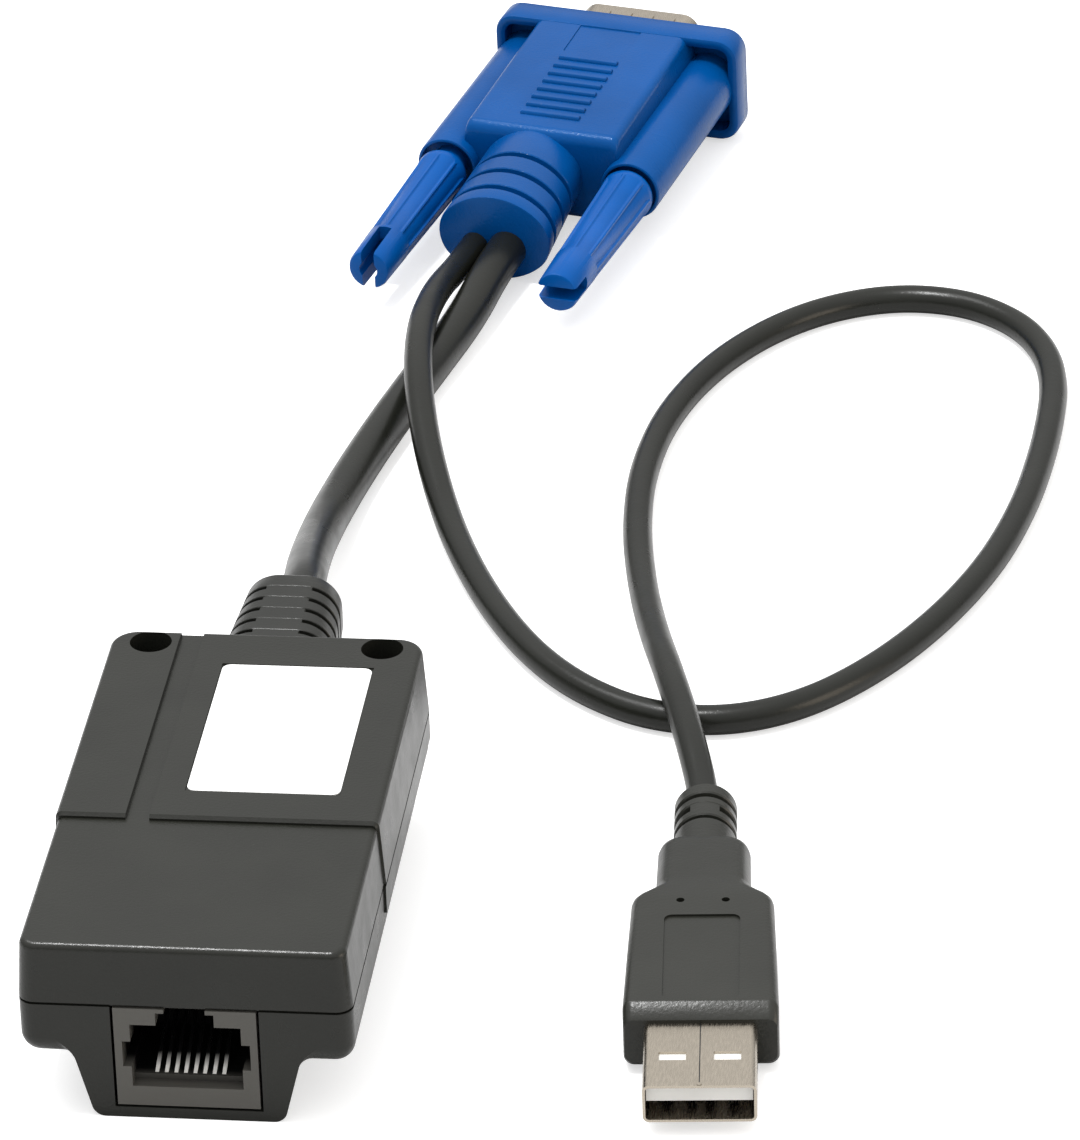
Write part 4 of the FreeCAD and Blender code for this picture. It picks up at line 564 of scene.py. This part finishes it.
KNOB_LENGTH, KNOB_END_RADIUS = 27.3, 2.7
AXLE_RADIUS, AXLE_FRONT = 2.275, -11.2
RIB_COUNT, RIB_HEIGHT, RIB_HALF = 8, 0.28, 0.06
KNOB_STEPS = 192
KNOB_NEAR = [(0.15, 0.15, 0), (0.5, 0, 0), (1.4, 0, 0), (2.0, 0, RIB_HEIGHT)]
KNOB_FAR = [(7.6, 0, RIB_HEIGHT), (7.0, 0, 0), (0.5, 0, 0), (0.15, 0.15, 0), (0, 0.45, 0)]
SLOT_WIDTH, SLOT_REACH, SLOT_CORNER = 1.7, 12, 0.05
BORE_RADIUS, BORE_PAST_SLOT, CUT_CLEAR = 1.2, 1, 2


def knob_ring(side, b, radius, rib):
    """Knob section: a circle whose ribs stand rib above the rest."""
    ring = []
    for i in range(KNOB_STEPS):
        angle = math.tau * i / KNOB_STEPS
        from_rib = abs((angle * RIB_COUNT / math.tau + 0.5) % 1 - 0.5) * math.tau / RIB_COUNT
        crest = max(0, min(1, 1.5 - from_rib / RIB_HALF))
        reach = radius - rib * (1 - crest)
        ring.append((side * SLEEVE_SIDE + reach * math.cos(angle), b, reach * math.sin(angle)))
    return ring


def knob(name, side, gap, start_radius, upright, slot_depth, body, replaced):
    """Tapering knob with thin ribs along it, its axle, and a screwdriver slot in its end."""
    near_face = SLEEVE_END - gap
    far_face = near_face - KNOB_LENGTH

    def radius_at(b):
        return start_radius + (KNOB_END_RADIUS - start_radius) * (near_face - b) / KNOB_LENGTH

    stations = [(AXLE_FRONT, AXLE_RADIUS, 0), (near_face, AXLE_RADIUS, 0), (near_face, start_radius - 0.5, 0)]
    for from_face, inward, rib in KNOB_NEAR:
        b = near_face - from_face
        stations.append((b, radius_at(b) - inward, rib))
    for from_face, inward, rib in KNOB_FAR:
        b = far_face + from_face
        stations.append((b, radius_at(b) - inward, rib))
    shape = loft([knob_ring(side, *station) for station in stations])
    piece = finish_piece(name, shape, PLUG, "knob_blue", body, replaced)

    width, height = (SLOT_WIDTH, SLOT_REACH) if upright else (SLOT_REACH, SLOT_WIDTH)
    span = (far_face - CUT_CLEAR, far_face + slot_depth)
    cutters = [(loft([rounded_ring(width, height, SLOT_CORNER, b, side * SLEEVE_SIDE) for b in span]), PLUG)]
    if upright:
        span = (far_face - CUT_CLEAR, far_face + slot_depth + BORE_PAST_SLOT)
        cutters.append((loft([circle_ring(BORE_RADIUS, b, side * SLEEVE_SIDE) for b in span]), PLUG))
    carve(piece, cutters)


knob(
    "left_thumbscrew_knob", side=-1, gap=1.2, start_radius=3.3, upright=True, slot_depth=6.5,
    body="left_thumbscrew", replaced=["left_knob"],
)
knob(
    "right_thumbscrew_knob", side=1, gap=0.4, start_radius=3.45, upright=False, slot_depth=3.6,
    body="right_thumbscrew", replaced=["right_knob"],
)

# ---------------------------------------------------------------- USB plug: grip, its panel and dimples

# A row of the grip's profile: place along b, width, height and corner radius.

GRIP_FRONT_BAND = [
    (12.15, 16.2, 5.3, 1.0), (12.35, 16.45, 5.75, 1.1), (13.8, 16.6, 7.8, 1.2), (14.0, 16.6, 7.95, 1.2),
    (14.25, 16.6, 8.0, 1.2),
]
GRIP_SIDES = [(24.0, 16.1, 8.0, 1.2), (34.6, 15.5, 8.0, 1.3)]
GRIP_SHOULDER = [
    (35.5, 15.2, 8.0, 1.4), (36.2, 14.5, 7.95, 1.6), (36.8, 13.5, 7.9, 1.8), (37.6, 12.3, 7.8, 2.0),
    (38.3, 11.3, 7.7, 2.1), (39.0, 10.7, 7.5, 2.2), (40.0, 10.4, 7.4, 2.2),
]
GRIP_NECK = [(47.4, 10.2, 7.2, 2.3), (48.2, 9.9, 7.0, 2.3), (48.6, 9.3, 6.8, 2.3), (48.7, 8.4, 6.4, 2.3)]
GRIP_PROFILE = GRIP_FRONT_BAND + GRIP_SIDES + GRIP_SHOULDER + GRIP_NECK
GRIP_PANEL_WIDTH, GRIP_PANEL_LENGTH, GRIP_PANEL_CORNER = 8.2, 17.0, 0.9
GRIP_PANEL_PLACE = (0, 22.8, 4.25)
DIMPLE_RADIUS, DIMPLE_HALF = 0.45, 0.8
DIMPLE_PLACES = [(-2.4, 34.3, 4.2), (2.5, 34.3, 4.2)]

grip = loft([rounded_ring(width, height, corner, b, steps=10) for b, width, height, corner in GRIP_PROFILE])
usb_grip = finish_piece("usb_grip", grip, USB_PLUG, "overmould_black", replaced=["usb_overmould"])
panel = flat_cutter(GRIP_PANEL_WIDTH, GRIP_PANEL_LENGTH, GRIP_PANEL_CORNER)
cutters = [(panel, USB_PLUG @ (Matrix.Translation(GRIP_PANEL_PLACE) @ STAND_UP))]
for place in DIMPLE_PLACES:
    dimple = loft([circle_ring(DIMPLE_RADIUS, b, steps=20) for b in (-DIMPLE_HALF, DIMPLE_HALF)])
    cutters.append((dimple, USB_PLUG @ (Matrix.Translation(place) @ STAND_UP)))
carve(usb_grip, cutters)

# ---------------------------------------------------------------- USB plug: ringed relief and its bridges

CORE_RADIUS, CHAMFER_RADIUS, RING_RADIUS = 2.9, 3.35, 3.5
COLLAR = [(48.0, RING_RADIUS), (52.4, RING_RADIUS), (52.6, CHAMFER_RADIUS), (52.7, CORE_RADIUS)]
RING_SPANS = [(53.2, 54.7), (55.7, 57.2)]
CAP = [
    (57.9, CORE_RADIUS), (57.98, CHAMFER_RADIUS), (58.15, RING_RADIUS), (59.75, RING_RADIUS), (59.95, 3.2),
    (60.2, 2.6),
]
BRIDGE_SPAN, BRIDGE_TOP, BRIDGE_BOTTOM = (54.5, 55.9), 3.44, 2.7
BRIDGE_HALF_TURN, BRIDGE_STEPS = math.radians(28), 8

profile = list(COLLAR)
for start, stop in RING_SPANS:
    profile += [(start, CORE_RADIUS), (start + 0.08, CHAMFER_RADIUS), (start + 0.25, RING_RADIUS)]
    profile += [(stop - 0.25, RING_RADIUS), (stop - 0.08, CHAMFER_RADIUS), (stop, CORE_RADIUS)]
profile += CAP
usb_relief = loft([circle_ring(radius, b) for b, radius in profile])
finish_piece("usb_relief", usb_relief, USB_PLUG, "overmould_black")


def bridge_rings(middle):
    """A curved bar that joins two rings of the relief, around the angle middle."""
    first = middle - BRIDGE_HALF_TURN
    turns = [first + 2 * BRIDGE_HALF_TURN * i / BRIDGE_STEPS for i in range(BRIDGE_STEPS + 1)]
    outline = [(BRIDGE_TOP * math.cos(t), BRIDGE_TOP * math.sin(t)) for t in turns]
    outline += [(BRIDGE_BOTTOM * math.cos(t), BRIDGE_BOTTOM * math.sin(t)) for t in reversed(turns)]
    return [[(a, b, c) for a, c in outline] for b in BRIDGE_SPAN]


bridges = loft(bridge_rings(math.radians(90)), bridge_rings(math.radians(270)))
finish_piece("usb_relief_bridges", bridges, USB_PLUG, "overmould_black")

# ---------------------------------------------------------------- USB plug: seam and weld dot on its shell

SEAM_SPAN, SEAM_HALF, SEAM_LOW, SEAM_HIGH = (0.25, 12.1), 0.06, 2.2, 2.262
WELD_PLACE = (0, 0.3, 2.22)
WELD_PROFILE = [(-0.02, 0.2), (0.06, 0.26), (0.1, 0.26)]

seam_corners = [
    (-SEAM_HALF, SEAM_LOW), (SEAM_HALF, SEAM_LOW), (SEAM_HALF, SEAM_HIGH), (-SEAM_HALF, SEAM_HIGH),
]
seam = loft([[(a, b, c) for a, c in seam_corners] for b in SEAM_SPAN])
finish_piece("usb_shell_seam", seam, USB_PLUG, "dark_steel")
weld = loft([circle_ring(radius, b, steps=16) for b, radius in WELD_PROFILE])
weld_place = USB_PLUG @ (Matrix.Translation(WELD_PLACE) @ STAND_UP)
finish_piece("usb_shell_weld", weld, weld_place, "plug_metal")

# ---------------------------------------------------------------- floor

FLOOR_HALF, FLOOR_GREY, FLOOR_ROUGHNESS, FLOOR_SPECULAR, FLOOR_LIFT = 3.0, 0.62, 0.9, 0.1, 0.58

floor_mesh = bpy.data.meshes.new("floor")
floor_corners = [(x * FLOOR_HALF, y * FLOOR_HALF, 0) for x, y in ((-1, -1), (1, -1), (1, 1), (-1, 1))]
floor_mesh.from_pydata(floor_corners, [], [(0, 1, 2, 3)])
floor = add("floor", floor_mesh)
floor_material, floor_tree, floor_shader = new_material("floor")
floor_shader.inputs["Base Color"].default_value = (FLOOR_GREY, FLOOR_GREY, FLOOR_GREY, 1)
floor_shader.inputs["Roughness"].default_value = FLOOR_ROUGHNESS
floor_shader.inputs["Specular IOR Level"].default_value = FLOOR_SPECULAR
# Seen straight on the floor is lifted to white; in the pieces' reflections it stays grey.
light_path = floor_tree.nodes.new("ShaderNodeLightPath")
lift = floor_tree.nodes.new("ShaderNodeMath")
lift.operation = "MULTIPLY"
lift.inputs[1].default_value = FLOOR_LIFT
floor_tree.links.new(light_path.outputs["Is Camera Ray"], lift.inputs[0])
floor_shader.inputs["Emission Color"].default_value = (1, 1, 1, 1)
floor_tree.links.new(lift.outputs["Value"], floor_shader.inputs["Emission Strength"])
floor_mesh.materials.append(floor_material)

# ---------------------------------------------------------------- sky, brighter overhead, and soft lights

HORIZON_GLOW, ZENITH_GLOW = 0.3, 1.6

world = bpy.data.worlds.new("world")
bpy.context.scene.world = world
world.use_nodes = True
sky = world.node_tree
background = sky.nodes["Background"]
direction = sky.nodes.new("ShaderNodeTexCoord")
split = sky.nodes.new("ShaderNodeSeparateXYZ")
glow = sky.nodes.new("ShaderNodeMapRange")
glow.inputs["From Min"].default_value = 0.0
glow.inputs["From Max"].default_value = 1.0
glow.inputs["To Min"].default_value = HORIZON_GLOW
glow.inputs["To Max"].default_value = ZENITH_GLOW
sky.links.new(direction.outputs["Generated"], split.inputs["Vector"])
sky.links.new(split.outputs["Z"], glow.inputs["Value"])
background.inputs["Color"].default_value = (1, 1, 1, 1)
sky.links.new(glow.outputs["Result"], background.inputs["Strength"])


def soft_light(name, place, target, size, power, colour=(1, 1, 1)):
    """A square lamp at a place, turned to a target, both in metres."""
    data = bpy.data.lights.new(name, "AREA")
    data.shape = "SQUARE"
    data.size = size
    data.energy = power
    data.color = colour
    light = add(name, data)
    light.location = place
    light.rotation_euler = (Vector(target) - Vector(place)).to_track_quat("-Z", "Y").to_euler()


soft_light("key", place=(-0.5, 0.4, 1.1), target=(0.03, 0.08, 0), size=0.4, power=3)
soft_light("overhead", place=(-0.16, 0.02, 1.15), target=(0.02, 0.06, 0), size=0.2, power=11)
soft_light(
    "side", place=(0.7, -0.1, 0.16), target=(0.02, 0, 0.01), size=0.35, power=1.4, colour=(1, 0.86, 0.7),
)
